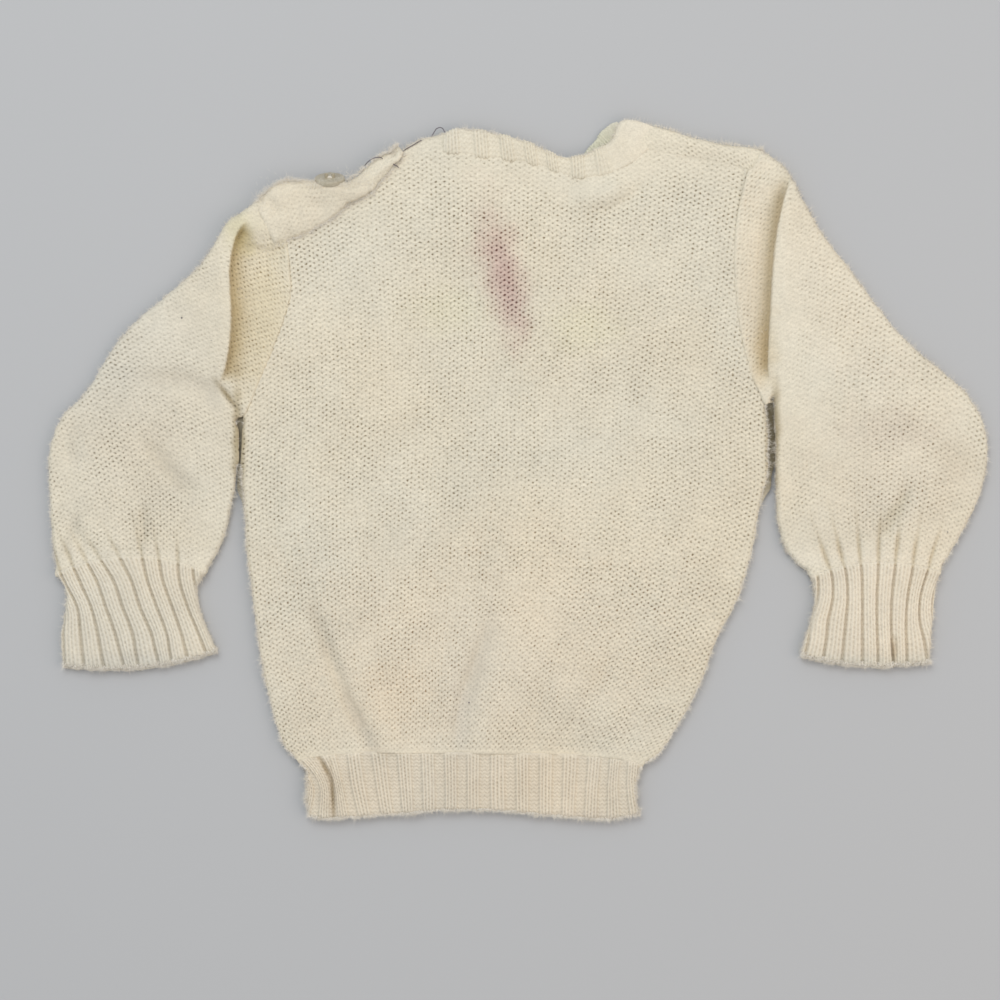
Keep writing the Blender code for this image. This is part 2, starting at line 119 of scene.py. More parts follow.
def fabricPoint(net, wale, row):  # where a stitch of the fabric lies
    across = splineWeights(net["wales"], wale)
    up = splineWeights(net["rows"], row)
    points = np.array(net["points"], float)
    return np.einsum("ij,jkd,ik->id", up, points, across)


def stitchBeside(net, wale, row, here, off):  # the wale and row a short way off from a known spot
    step = cloth["fineStep"]
    alongWale = (fabricPoint(net, wale + step, row) - here) / step
    alongRow = (fabricPoint(net, wale, row + step) - here) / step
    area = turnOf(alongWale, alongRow)
    return wale + turnOf(off, alongRow) / area, row + turnOf(alongWale, off) / area


def fabricPlace(net, points):  # which wale and row lie at each point
    wales, rows = [np.linspace(net[key][0], net[key][-1], 41) for key in ("wales", "rows")]
    wale, row = [part.ravel() for part in np.meshgrid(wales, rows)]
    spots = fabricPoint(net, wale, row)
    near = np.argmin(((points[:, None] - spots[None]) ** 2).sum(2), axis=1)
    wale, row = wale[near], row[near]
    for k in range(12):  # creeps up on each point
        here = fabricPoint(net, wale, row)
        wale, row = stitchBeside(net, wale, row, here, points - here)
    return wale, row


def nodeSkin(node):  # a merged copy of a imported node's mesh, in millimetres
    work = bmesh.new()
    work.from_mesh(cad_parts[node].data)
    bmesh.ops.scale(work, vec=(1 / mm, 1 / mm, 1 / mm), verts=work.verts)
    bmesh.ops.remove_doubles(work, verts=work.verts, dist=0.002)
    work.normal_update()
    return work


def rawOutline(node):  # the edge of a node's highest upward skin, in order
    work = nodeSkin(node)
    facing = dict.fromkeys(face for face in work.faces if face.normal.z > 0.02)
    start = max(facing, key=lambda face: face.calc_center_median().z)
    skin = {start}
    todo = [start]
    while todo:
        for edge in todo.pop().edges:
            for other in edge.link_faces:
                if other in facing and other not in skin:
                    skin.add(other)
                    todo.append(other)
    links = {}
    for edge in {edge for face in skin for edge in face.edges}:
        if sum(face in skin for face in edge.link_faces) == 1:
            a, b = edge.verts
            links.setdefault(a, []).append(b)
            links.setdefault(b, []).append(a)
    here = min(links, key=lambda corner: (round(corner.co.x, 2), corner.co.y))
    loop = [here]
    came = min(links[here], key=lambda corner: (corner.co.y, corner.co.x))  # sets the way round
    while True:
        following = [corner for corner in links[here] if corner is not came]
        came = here
        here = following[0]
        if here is loop[0]:
            break
        loop.append(here)
    points = np.array([corner.co[:2] for corner in loop])
    work.free()
    if turnOf(points, np.roll(points, -1, axis=0)).sum() < 0:
        points = points[::-1]  # always anticlockwise
    return points


def smoothOutline(points):  # rounds an outline between its corners
    before = points - np.roll(points, 1, axis=0)
    after = np.roll(points, -1, axis=0) - points
    turn = np.degrees(np.arctan2(turnOf(before, after), (before * after).sum(1)))
    corners = np.flatnonzero(np.abs(turn) > cloth["cornerTurn"])
    shortest = 0.3  # nearer points are left out
    runs = []
    for a, b in zip(corners, np.roll(corners, -1)):
        span = (b - a) % len(points) or len(points)
        run = points[(a + np.arange(span + 1)) % len(points)]
        gaps = np.linalg.norm(np.diff(run, axis=0), axis=1)
        keep = np.concatenate([[True], gaps > shortest])
        keep[-1] = True
        if len(keep) > 2 and gaps[-1] <= shortest:
            keep[-2] = False
        run = run[keep]
        place = np.concatenate([[0], np.cumsum(np.linalg.norm(np.diff(run, axis=0), axis=1))])
        count = max(int(place[-1] / cloth["outlineStep"]), 2)
        runs.append(splineWeights(place, np.linspace(0, place[-1], count + 1)) @ run)
    return runs


outlines = {name: smoothOutline(rawOutline(name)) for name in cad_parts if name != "shoulder_button"}
print("outlines read from the solids")


def wayToStep(points, a, b):  # from each point to the straight step from a to b, and how far that is
    along = b - a
    share = np.clip(((points - a) @ along) / max(along @ along, 1e-9), 0, 1)
    off = a + share[:, None] * along - points
    return off, np.hypot(off[:, 0], off[:, 1])


def nearestOnLine(points, line):  # distance to an open line, and the way back to it
    best = np.full(len(points), farAway)
    way = np.zeros((len(points), 2))
    for a, b in zip(line[:-1], line[1:]):
        off, gap = wayToStep(points, a, b)
        closer = gap < best
        best[closer] = gap[closer]
        way[closer] = off[closer]
    return best, way


def pieceOutline(node, neighbours, bridge=None, pulls=()):
    # the whole outline, with 0 for a free step, 1 for one knitted on, 2 for a sewn seam
    points = np.vstack([run[:-1] for run in outlines[node]])
    if bridge:  # leaves out a narrow notch
        first, last = sorted(int(np.argmin(((points - spot) ** 2).sum(1))) for spot in np.array(bridge))
        points = np.vstack([points[:first + 1], points[last:]])
    seams = np.zeros(len(points), int)
    middle = (points + np.roll(points, -1, axis=0)) / 2
    for other, kind in neighbours.items():
        for line in outlines[other]:
            seams[nearestOnLine(middle, line)[0] < cloth["seamWithin"]] = kind
    for x, y, reachX, reachY, moveX, moveY in pulls:  # soft local pulls of the outline
        share = np.exp(-((points[:, 0] - x) / reachX) ** 2 - ((points[:, 1] - y) / reachY) ** 2)
        points = points + share[:, None] * (moveX, moveY)
    ahead = np.roll(points, -1, axis=0) - np.roll(points, 1, axis=0)
    outward = np.stack([ahead[:, 1], -ahead[:, 0]], axis=1) / np.linalg.norm(ahead, axis=1)[:, None]
    meets = np.maximum(seams, np.roll(seams, 1))
    reach = np.choose(meets, (0.0, cloth["joinReach"], cloth["seamReach"]))
    free = meets == 0
    wobble = spreadNoise(*points.T, 3.1, 5) + 0.5 * spreadNoise(*points.T, 1.7, 6)
    reach = reach + free * cloth["edgeWobble"] * wobble
    return points + outward * reach[:, None], seams


def insideOutline(points, outline):  # which points lie inside a closed outline
    inside = np.zeros(len(points), bool)
    x, y = points[:, 0], points[:, 1]
    for a, b in zip(outline, np.roll(outline, -1, axis=0)):
        between = (a[1] > y) != (b[1] > y)
        if between.any():
            inside ^= between & (x < a[0] + (b[0] - a[0]) * (y - a[1]) / (b[1] - a[1] + 1e-12))
    return inside


def knittedGrid(net, outline, acrossParts, upParts):
    # a grid that follows the stitches; corners that fall outside are pulled to the outline
    wale, row = fabricPlace(net, outline)
    wales, rows = [np.arange(math.floor(spots.min()) * parts, math.ceil(spots.max()) * parts + 1) / parts
                   for spots, parts in ((wale, acrossParts), (row, upParts))]
    w, r = [part.ravel() for part in np.meshgrid(wales, rows)]
    flat = fabricPoint(net, w, r)
    inside = insideOutline(flat, outline)
    number = np.arange(len(w)).reshape(len(rows), len(wales))
    quads = np.stack([number[:-1, :-1], number[:-1, 1:], number[1:, 1:], number[1:, :-1]], axis=-1)
    quads = quads.reshape(-1, 4)
    quads = quads[inside[quads].any(axis=1)]
    out = np.setdiff1d(np.unique(quads), np.flatnonzero(inside))
    way = nearestOnLine(flat[out], np.vstack([outline, outline[:1]]))[1]
    w[out], r[out] = stitchBeside(net, w[out], r[out], flat[out], way)
    flat[out] += way
    used = np.unique(quads)
    key = np.round(flat[used] / 0.02).astype(np.int64)  # corners pulled to one spot become one
    first, member = np.unique(key, axis=0, return_index=True, return_inverse=True)[1:]
    merged = np.zeros(len(w), int)
    merged[used] = member.ravel()
    faces = []
    for quad in merged[quads].tolist():
        corners = [corner for k, corner in enumerate(quad) if corner != quad[k - 1]]
        if len(corners) > 2 and len(set(corners)) == len(corners):
            faces.append(corners)
    first = used[first]
    return flat[first], w[first], r[first], faces


def rimOf(faces):  # directed edges on the border of a patch of faces
    edges = dict.fromkeys((face[k - 1], corner) for face in faces for k, corner in enumerate(face))
    return [(a, b) for a, b in edges if (b, a) not in edges]


def solidHeight(node):  # a smooth height of a node's skin, read by dropping rays on its mesh
    work = nodeSkin(node)
    tree = BVHTree.FromBMesh(work)
    corners = np.array([corner.co[:2] for corner in work.verts])
    work.free()
    step, past = cloth["heightStep"], 12  # read a little past the edge
    xs, ys = [np.arange(corners[:, k].min() - past, corners[:, k].max() + past, step) for k in (0, 1)]
    value, mask = np.zeros((2, len(xs), len(ys)))
    for i, x in enumerate(xs):
        for j, y in enumerate(ys):
            spot = tree.ray_cast(Vector((x, y, 100.0)), Vector((0, 0, -1)))[0]
            if spot is not None:
                value[i, j] = spot.z
                mask[i, j] = 1
    inner = mask.copy()
    for k in range(2):  # leave out the rounded rim
        grown = np.pad(inner, 1)
        inner = inner * grown[:-2, 1:-1] * grown[2:, 1:-1] * grown[1:-1, :-2] * grown[1:-1, 2:]
    if inner.sum() < 8:
        inner = mask
    blurred = None
    for sigma in (1.6, 5.0, 12.0):  # wider blurs only fill in where the finer ones know nothing
        reach = int(3 * sigma)
        kernel = np.exp(-0.5 * (np.arange(-reach, reach + 1) / sigma) ** 2)
        top, weight = value * inner, inner
        for axis in (0, 1):
            top, weight = [
                np.apply_along_axis(lambda line: np.convolve(line, kernel)[reach:-reach], axis, field)
                for field in (top, weight)]
        level = top / np.maximum(weight, 1e-9)
        sure = smoothStep(0.02, 0.3, weight / kernel.sum() ** 2)
        blurred = level if blurred is None else blurred * known + level * (1 - known)
        known = sure if sigma == 1.6 else np.maximum(known, sure)

    def heightAt(points):
        u = np.clip((points[:, 0] - xs[0]) / step, 0, len(xs) - 1.001)
        v = np.clip((points[:, 1] - ys[0]) / step, 0, len(ys) - 1.001)
        i, j = u.astype(int), v.astype(int)
        return blend(blurred, i, j, u - i, v - j)

    return heightAt


def besideLine(points, line, parts, reach):
    # along a smooth open line: which points are within reach, how far to its left each lies,
    # its share of the way along, and the direction that is left
    line = np.array(line, float)
    if len(line) > 2:
        place = np.arange(len(line), dtype=float)
        line = splineWeights(place, np.linspace(0, place[-1], parts * len(line))) @ line
    lengths = np.linalg.norm(np.diff(line, axis=0), axis=1)
    start = np.concatenate([[0], np.cumsum(lengths)])
    near = np.flatnonzero((points > line.min(0) - reach).all(1) & (points < line.max(0) + reach).all(1))
    spots = points[near]
    best = np.full(len(near), farAway)
    share, signed = np.zeros((2, len(near)))
    left = np.zeros((len(near), 2))
    for k, (a, b) in enumerate(zip(line[:-1], line[1:])):
        along = (b - a) / lengths[k]
        part = np.clip(((spots - a) @ along) / lengths[k], 0, 1)
        off = spots - a - part[:, None] * (b - a)
        gap = np.hypot(off[:, 0], off[:, 1])
        turned = np.array([-along[1], along[0]])
        closer = gap < best
        best[closer] = gap[closer]
        share[closer] = ((start[k] + part * lengths[k]) / start[-1])[closer]
        signed[closer] = np.where(off @ turned > 0, gap, -gap)[closer]
        left[closer] = turned
    return near, signed, share, left


def creaseHeight(points, creases):  # listed soft troughs and ridges that die away at their ends
    height = np.zeros(len(points))
    for line, rise, leftWidth, rightWidth in creases:
        near, signed, share = besideLine(points, line, 4, 3 * max(leftWidth, rightWidth))[:3]
        fade = smoothStep(0, 0.3, share) * smoothStep(0, 0.3, 1 - share)
        height[near] += rise * np.exp(-(signed / np.where(signed > 0, leftWidth, rightWidth)) ** 2) * fade
    return height


def foldLip(points, lips):  # a crisp fold whose crest leans over the hollow on its left, and the painted shade in that hollow
    rise, shade = np.zeros((2, len(points)))
    lean = np.zeros((len(points), 2))
    for lip in lips:
        near, signed, share, left = besideLine(points, lip["line"], 5, 30)
        fade = smoothStep(0, lip["fade"][0], share) * smoothStep(0, lip["fade"][1], 1 - share)
        crest = np.exp(-(signed / np.where(signed > 0, 1.0, lip["back"])) ** 2)
        hollow = smoothStep(-0.2, 1.6, signed) * np.exp(-(np.maximum(signed, 0) / lip["width"]) ** 2)
        # how much painted shade the hollow gets, from the crest outward
        deep = smoothStep(-0.6, 0.6, signed) * np.exp(-(np.maximum(signed - 1.5, 0) / lip["dark"]) ** 2)
        rise[near] += fade * (lip["rise"] * crest - lip["depth"] * hollow)
        lean[near] += (fade * lip["lean"] * np.exp(-((signed + 0.7) / 1.7) ** 2))[:, None] * left
        shade[near] = np.maximum(shade[near], fade * deep)
    return rise, lean, shade


def tintAt(points, spots):  # soft stains, painted shade and painted highlights; each multiplies the wool's own colour
    tint = np.ones((len(points), 3))
    for x, y, reachX, reachY, turn, colour, strength in spots:
        turn = math.radians(turn)
        u = ((points[:, 0] - x) * math.cos(turn) + (points[:, 1] - y) * math.sin(turn)) / reachX
        v = ((points[:, 1] - y) * math.cos(turn) - (points[:, 0] - x) * math.sin(turn)) / reachY
        ragged = 1 + 0.45 * spreadNoise(*points.T, 6.0, 78)
        share = strength * np.exp(-((u * u + v * v) * ragged) ** 1.3)
        tint *= 1 - share[:, None] * (1 - np.array(colour))
    return tint


def clearness(points, matted):  # 1 where the stitches are open, less where the wool has felted over them
    return tintAt(points, [(*spot[:5], (0, 0, 0), spot[5]) for spot in matted])[:, 0]


def clothObject(name, verts, faces, smooth, uv, pit, tint, material):
    mesh = bpy.data.meshes.new(name)
    mesh.from_pydata((verts * mm).tolist(), [], faces)
    mesh.polygons.foreach_set("use_smooth", smooth)
    corners = np.zeros(len(mesh.loops), np.int32)
    mesh.loops.foreach_get("vertex_index", corners)
    layer = mesh.uv_layers.new(name="knit")
    layer.data.foreach_set("uv", uv[corners].astype(np.float32).ravel())
    # how open each hole or gutter is; it deepens the cloth there and sets its painted shade
    mesh.attributes.new("pit", "FLOAT", "POINT").data.foreach_set("value", pit.astype(np.float32))
    colour = np.column_stack([tint, np.ones(len(verts))])
    mesh.attributes.new("tint", "FLOAT_COLOR", "POINT").data.foreach_set(
        "color", colour.astype(np.float32).ravel())
    mesh.update()
    made = bpy.data.objects.new(name, mesh)
    bpy.context.scene.collection.objects.link(made)
    mesh.materials.append(material)
    print(name, len(faces), "faces")
    return made


knit = {
    "rise": 0.28,            # strands above the cloth's middle height
    "pitDepth": 0.75,        # how deep a hole between strands goes
    "knot": -0.10,           # where strands cross
    "felting": 9.0,          # size of patches where the wool has matted
    "unevenness": 0.09}      # sideways wander of the strands


def stockingRelief(wale, row, flat, seed, least, most, calmBelow=None):
    # height over the cloth, and how open the stitches are, from least to most
    wave = np.cos(2 * np.pi * wale) * np.cos(2 * np.pi * row)
    shade = np.random.default_rng(seed)
    felt = 0.55 + 0.30 * spreadNoise(*flat.T, knit["felting"], seed)
    felt += 0.22 * spreadNoise(*flat.T, 2.7 * knit["felting"], seed + 1)
    felt = least + (most - least) * np.clip(felt, 0, 1)
    if calmBelow:  # matted just above a ribbed end
        felt = felt * (0.5 + 0.5 * smoothStep(calmBelow[0], calmBelow[1], flat[:, 1]))
    clear = felt * shade.uniform(0.6, 1.25, len(flat))
    hole = np.clip(wave, 0, 1) ** 1.5
    height = knit["rise"] * (1 - np.abs(wave)) * (0.45 + 0.55 * felt) - knit["pitDepth"] * hole * clear
    height += knit["knot"] * np.clip(-wave, 0, 1) + shade.normal(0, 0.05, len(flat))
    return height, np.clip(clear, 0, 1.2)


def rimDistance(points, outline, seams):
    # distances to the free, the joined and the sewn parts of an outline, and the way to the free part
    free, joined, sewn = np.full((3, len(points)), farAway)
    way = np.zeros((len(points), 2))
    order = np.argsort(points[:, 0])
    xs = points[order, 0]
    reach = 9  # farther points are past every rounding
    for a, b, seam in zip(outline, np.roll(outline, -1, axis=0), seams):
        if seam == 3:  # an open end
            continue
        low, high = np.searchsorted(xs, [min(a[0], b[0]) - reach, max(a[0], b[0]) + reach])
        near = order[low:high]
        near = near[np.abs(points[near, 1] - (a[1] + b[1]) / 2) < reach + abs(a[1] - b[1]) / 2]
        off, gap = wayToStep(points[near], a, b)
        if seam:
            kind = sewn if seam == 2 else joined
            kind[near] = np.minimum(kind[near], gap)
        else:
            closer = gap < free[near]
            free[near[closer]] = gap[closer]
            way[near[closer]] = off[closer]
    return free, joined, sewn, way


def roundDrop(gap, radius, depth):  # how far a rounded edge has dropped at this distance from its rim
    inner = np.clip(gap / radius, 0, 1)
    return depth * (1 - np.sqrt(np.clip(1 - (1 - inner) ** 2, 0, 1)))


def rimLoop(faces):  # the corners round the edge of a patch, in order
    following = {}
    for a, b in rimOf(faces):
        following.setdefault(a, []).append(b)
    start = min(following)
    loop = [start]
    while True:
        ahead = following[loop[-1]]
        spot = ahead.pop() if len(ahead) > 1 else ahead[0]
        if spot == start:
            if len(loop) < sum(len(ends) for ends in following.values()):
                print("a rim is broken")
            return loop
        loop.append(spot)


fuzzyEdges = []  # outlines that stand free, for the loose fibres


def panelPiece(node, net, neighbours, relief, options, material):
    # knitted skin over a packed panel, closed by a plain flat inner side
    outline, seams = pieceOutline(node, neighbours, None, options.get("pulls", ()))
    flat, wale, row, faces = knittedGrid(net, outline, options["across"], options["up"])
    free, joined, sewn = rimDistance(flat, outline, seams)[:3]
    height, pit = relief(wale, row, flat)
    faceUp = options.get("faceUp", True)
    inner = options["inner"]
    rim = options["rim"]  # without one it is folded over all the way down
    level = solidHeight(node)(flat) if faceUp else np.full(len(flat), inner + cloth["wall"] + 0.1)
    level = level + creaseHeight(flat, options.get("creases", []))
    level = level - options.get("tuck", 0) * (1 - smoothStep(0.4, 2.2, joined))
    calm = smoothStep(0, 1.6, np.minimum(free, sewn))
    flush = smoothStep(0, options.get("blend", cloth["blend"]), joined)
    clear = clearness(flat, options.get("matted", []))
    height = height * (0.35 + 0.65 * calm) * flush * clear
    pit = pit * (0.4 + 0.6 * calm) * (0.3 + 0.7 * flush) * clear
    edge = level - roundDrop(free, rim["radius"] if rim else cloth["foldRadius"],
                             rim["depth"] if rim else level - inner - 0.12)
    edge = edge - roundDrop(sewn, cloth["seamRadius"], options.get("groove", cloth["seamGroove"]))
    top = np.maximum(edge + height * smoothStep(-0.2, 1.2, edge - inner), inner + 0.1)
    wander = np.random.default_rng(len(flat)).normal(0, knit["unevenness"], flat.shape)
    inside = np.minimum(np.minimum(free, sewn), joined) > cloth["stillRim"]
    spots = flat + wander * inside[:, None]
    if not faceUp:  # its knitted side faces the table
        top = np.maximum(2 * inner - top, cloth["lowest"])
    loop = rimLoop(faces)
    count = len(flat)
    back = np.column_stack([flat[loop], np.full(len(loop), inner)])
    walls = [[corner, loop[k - 1], count + (k - 1) % len(loop), count + k] for k, corner in enumerate(loop)]
    smooth = [True] * (len(faces) + len(walls)) + [False]
    faces = faces + walls + [[count + k for k in range(len(loop) - 1, -1, -1)]]
    if faceUp:
        fuzzyEdges.append((outline, (seams == 0) * options.get("fluff", 1.0), inner + 1.2, 1.0))
    else:
        faces = [face[::-1] for face in faces]
    uv = np.stack([wale, row], axis=1)
    tint = tintAt(flat, options.get("stainsAndShade", []))
    return clothObject(options["name"], np.vstack([np.column_stack([spots, top]), back]), faces, smooth,
                       np.vstack([uv, uv[loop]]), np.concatenate([pit, pit[loop] * 0]),
                       np.vstack([tint, tint[loop]]), material)


tube = {
    "table": 0.3,            # height of the lower layer over the table
    "middle": 2.7,           # height of the folds at its sides
    "airSpace": 3.5,         # the most there is between the layers
    "lowestTop": 0.6,        # height over both walls, where it is flattest
    "endTop": 0.5,           # the same at an open end
    "meetReach": 7,          # how far a join evens out the height
    "endReach": 11,          # how far an open end flattens the tube
    "scallopReach": 3,       # how far an open end waves with the ribs
    "peekReach": 14,         # how far the lower layer is drawn out past the upper one
    "insetReach": 8,         # how far from a fold the inner wall is drawn in
    "endRadius": 2.6,        # rounding of the open end
    "endDrop": 1.2,
    "innerRadius": 1.6,      # rounding of the fold inside
    "onFold": 0.05,          # corners this near a side fold lie on it
    "roll": 0.45}            # roundness of the turn between the skins at an open end


def rimOutward(flat, rim):  # the way out of the cloth at each rim corner
    out = {}
    for a, b in rim:
        ahead = flat[b] - flat[a]
        side = np.array([ahead[1], -ahead[0]]) / max(np.hypot(*ahead), 1e-9)
        for corner in (a, b):
            out[corner] = out.get(corner, 0) + side
    return {corner: side / max(np.hypot(*side), 1e-9) for corner, side in out.items()}


def innerFold(spot, outline):  # where the inner wall turns, one layer in from the fold
    near = int(np.argmin(((outline - spot) ** 2).sum(1)))
    ahead = outline[(near + 1) % len(outline)] - outline[near - 1]
    inward = np.array([-ahead[1], ahead[0]]) / max(np.linalg.norm(ahead), 1e-9)
    return spot + inward * cloth["wall"]


def layerHeights(top, height, under, free, groove, endGap, calm):
    # of the upper layer's outside, the lower layer's outside, and the inside of both
    table, wall, middle = tube["table"], cloth["wall"], tube["middle"]
    drop = roundDrop(free, cloth["foldRadius"], 1.0)
    lip = roundDrop(endGap, tube["endRadius"], tube["endDrop"])
    outerTop = top * (1 - drop) + middle * drop - groove - lip + height * (0.3 + 0.7 * calm)
    outerLow = table * (1 - drop) + middle * drop + lip * 0.4 - under * (0.3 + 0.7 * calm)
    outerLow = np.maximum(outerLow, cloth["lowest"])
    innerDrop = roundDrop(free, tube["innerRadius"], 1.0)
    lowWall = table + wall
    gap = np.maximum(top - 2 * wall - table, 0.3) * (0.1 + 0.9 * smoothStep(0, 6, endGap))
    innerLow = lowWall * (1 - innerDrop) + middle * innerDrop
    innerTop = (lowWall + np.minimum(gap, tube["airSpace"])) * (1 - innerDrop) + middle * innerDrop
    innerTop = np.minimum(innerTop, outerTop - 0.6)
    innerLow = np.minimum(innerLow, innerTop - 0.05 * (1 - innerDrop))
    return outerTop, outerLow, innerTop, innerLow


def weldLayers(flat, faces, layers, free, outline):
    # one skin for each layer, made one at the folds and closed by a rounded turn at an open end;
    # also which grid corner each corner comes from, and which corners are used
    count = len(flat)
    rim = rimOf(faces)
    onFold = np.zeros(count, bool)
    for a, b in rim:
        if max(free[a], free[b]) < tube["onFold"]:
            onFold[a] = onFold[b] = True
    for k in np.flatnonzero(onFold):  # the fold belongs to both layers
        layers[0][k] = layers[1][k] = (*flat[k], tube["middle"])
        layers[2][k] = layers[3][k] = (*innerFold(flat[k], outline), tube["middle"])
    index = [np.arange(count) + k * count for k in range(4)]
    index[1][onFold] = index[0][onFold]
    index[3][onFold] = index[2][onFold]
    skins = [[int(number[k]) for k in face[::turned]]
             for face in faces for number, turned in zip(index, (1, -1, -1, 1))]
    out = rimOutward(flat, rim)
    rolls = []
    rolled = [{}, {}]
    total = 4 * count
    for a, b in rim:
        if onFold[a] and onFold[b]:
            continue
        for turn, (skin, lining) in enumerate(((0, 2), (1, 3))):
            for corner in (a, b):
                if corner in rolled[turn]:
                    continue
                if onFold[corner]:
                    rolled[turn][corner] = (int(index[skin][corner]),) * 2
                    continue
                x, y = layers[skin][corner], layers[lining][corner]
                bulge = np.append(out[corner], 0) * tube["roll"] * abs(x[2] - y[2])
                rolled[turn][corner] = (total + len(rolls), total + len(rolls) + 1)
                rolls += [x * 0.75 + y * 0.25 + bulge * 0.87, x * 0.25 + y * 0.75 + bulge * 0.87]
            chainA, chainB = [[int(index[skin][corner]), *rolled[turn][corner], int(index[lining][corner])]
                              for corner in (a, b)]
            for k in range(3):
                face = [chainB[k], chainA[k], chainA[k + 1], chainB[k + 1]]
                skins.append(face[::-1] if turn else face)
    source = np.concatenate([np.tile(np.arange(count), 4), np.zeros(len(rolls), int)])
    for turns in rolled:
        for corner, pair in turns.items():
            for spot in pair:
                source[spot] = corner if spot >= total else source[spot]
    used = np.zeros(len(source), bool)
    used[[corner for face in skins for corner in face]] = True
    place = np.cumsum(used) - 1
    skins = [list(dict.fromkeys(int(place[corner]) for corner in face)) for face in skins]
    verts = np.vstack(layers + [np.array(rolls).reshape(-1, 3)])
    return verts, [face for face in skins if len(face) > 2], source, used


def tubePiece(node, net, neighbours, relief, options, material):
    # a flattened tube of cloth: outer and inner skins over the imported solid, welded where it is folded
    outline, seams = pieceOutline(node, neighbours, options.get("bridge"), options.get("pulls", ()))
    openEnd = np.zeros(len(outline), bool)
    if "openBelow" in options:  # the cuff's own open end counts as cut, not folded
        step = np.roll(outline, -1, axis=0) - outline
        halfway = (outline + np.roll(outline, -1, axis=0)) / 2
        openEnd = (np.abs(step[:, 0]) > np.abs(step[:, 1])) & (halfway[:, 1] < options["openBelow"])
    flat, wale, row, faces = knittedGrid(net, outline, options["across"], options["up"])
    free, joined, sewn, way = rimDistance(flat, outline, np.where(openEnd, 3, seams))
    endGap = rimDistance(flat, outline, openEnd.astype(int))[1]
    flush = smoothStep(0, options.get("blend", cloth["blend"]), joined)
    clear = clearness(flat, options.get("matted", []))
    height, pit = relief(wale, row, flat)
    under, underPit = relief(wale + 0.5, row, flat)
    height = height * (0.3 + 0.7 * clear) * flush
    pit = pit * clear * (0.15 + 0.85 * flush)
    under = under * flush
    wall = cloth["wall"]
    lipRise, lipLean, lipShade = foldLip(flat, options.get("lips", []))
    top = solidHeight(node)(flat) + creaseHeight(flat, options.get("creases", [])) + lipRise
    level = smoothStep(0, tube["meetReach"], joined)  # both pieces come to one height where they join
    top = np.maximum(top * level + options["meet"] * (1 - level), 2 * wall + tube["lowestTop"])
    flatEnd = smoothStep(0, tube["endReach"], endGap)
    top = top * flatEnd + (2 * wall + tube["table"] + tube["endTop"]) * (1 - flatEnd)
    groove = roundDrop(sewn, cloth["seamRadius"], options.get("groove", 0.2))
    calm = smoothStep(0, 1.5, np.minimum(free, sewn)) * (0.25 + 0.75 * smoothStep(0, 2.0, endGap))
    heights = layerHeights(top, height, under, free, groove, endGap, calm)
    wander = np.random.default_rng(len(flat)).normal(0, knit["unevenness"], flat.shape)
    inside = np.minimum(np.minimum(free, sewn), np.minimum(joined, endGap)) > cloth["stillRim"]
    scallop = (options.get("scallop", 0) * (np.abs(np.cos(np.pi * wale)) - 0.5)
               * np.clip(1 - endGap / tube["scallopReach"], 0, 1))
    peek = options.get("peek", 0) * (1 + 0.5 * spreadNoise(flat[:, 0], 0 * flat[:, 0], 4.0, 8))
    peek = peek * np.clip(1 - endGap / tube["peekReach"], 0, 1)
    shift = np.clip(1 - free / tube["insetReach"], 0, 1) * wall
    length = np.maximum(np.linalg.norm(way, axis=1), 1e-6)
    inward = -way / length[:, None] * (free > 1e-3)[:, None]
    spots = flat + wander * inside[:, None] - np.outer(scallop, (0, 1)) + lipLean
    inner = flat + inward * shift[:, None] + lipLean * 0.6
    places = (spots, spots - lipLean - np.outer(peek, (0, 1)),
              inner, inner - lipLean * 0.6 - np.outer(peek, (0, 1)))
    layers = [np.column_stack(layer) for layer in zip(places, heights)]
    verts, faces, source, used = weldLayers(flat, faces, layers, free, outline)
    uv = np.stack([wale, row], axis=1)
    tint = tintAt(flat, options.get("stainsAndShade", []))
    # painted shade in the hollow beside a fold's crest, with some yellowing
    tint *= 1 - lipShade[:, None] * (1 - np.array(options.get("paintedHollowShade", (1, 1, 1))))
    rolls = np.zeros(len(used) - 4 * len(flat))
    pits = np.concatenate([pit * (0.4 + 0.6 * calm), underPit, pit * 0.3, pit * 0.3, rolls])
    fuzzyEdges.append((outline, (seams == 0) + 4.0 * openEnd, tube["middle"], 1.3))
    return clothObject(options["name"], verts[used], faces, [True] * len(faces), uv[source][used],
                       pits[used], tint[source][used], material)


bodyLevels = [  # height up the body, middle x, half width, number of the row
    (-151, -23.5, 90, -22), (-141, -23, 93, -18), (-120, -18.8, 102, -10), (-85, -15.3, 114.8, 4),
    (-65, -11.5, 121.5, 12), (-35, -9, 127, 24), (0, -6, 132, 38), (30, -5.5, 131.5, 50),
    (80, -3, 137, 70), (120, -2, 144, 86), (165, -1, 151, 104), (180, -1, 153, 110)]


def netFrom(wales, rows, xs, ys):
    return {"wales": wales, "rows": rows, "points": [list(zip(*line)) for line in zip(xs, ys)]}


def bodyNet():
    shares = (-1.1, -0.75, -0.5, -0.25, 0.0, 0.25, 0.5, 0.75, 1.1)
    droops = [4.5 + 6.0 * min(max((level[0] + 141.5) / 41.5, 0.0), 1.0) for level in bodyLevels]
    return netFrom([33.5 * share for share in shares], [level[3] for level in bodyLevels],
                   [[level[1] + level[2] * share for share in shares] for level in bodyLevels],
                   [[level[0] - droop * share ** 2 for share in shares]
                    for level, droop in zip(bodyLevels, droops)])


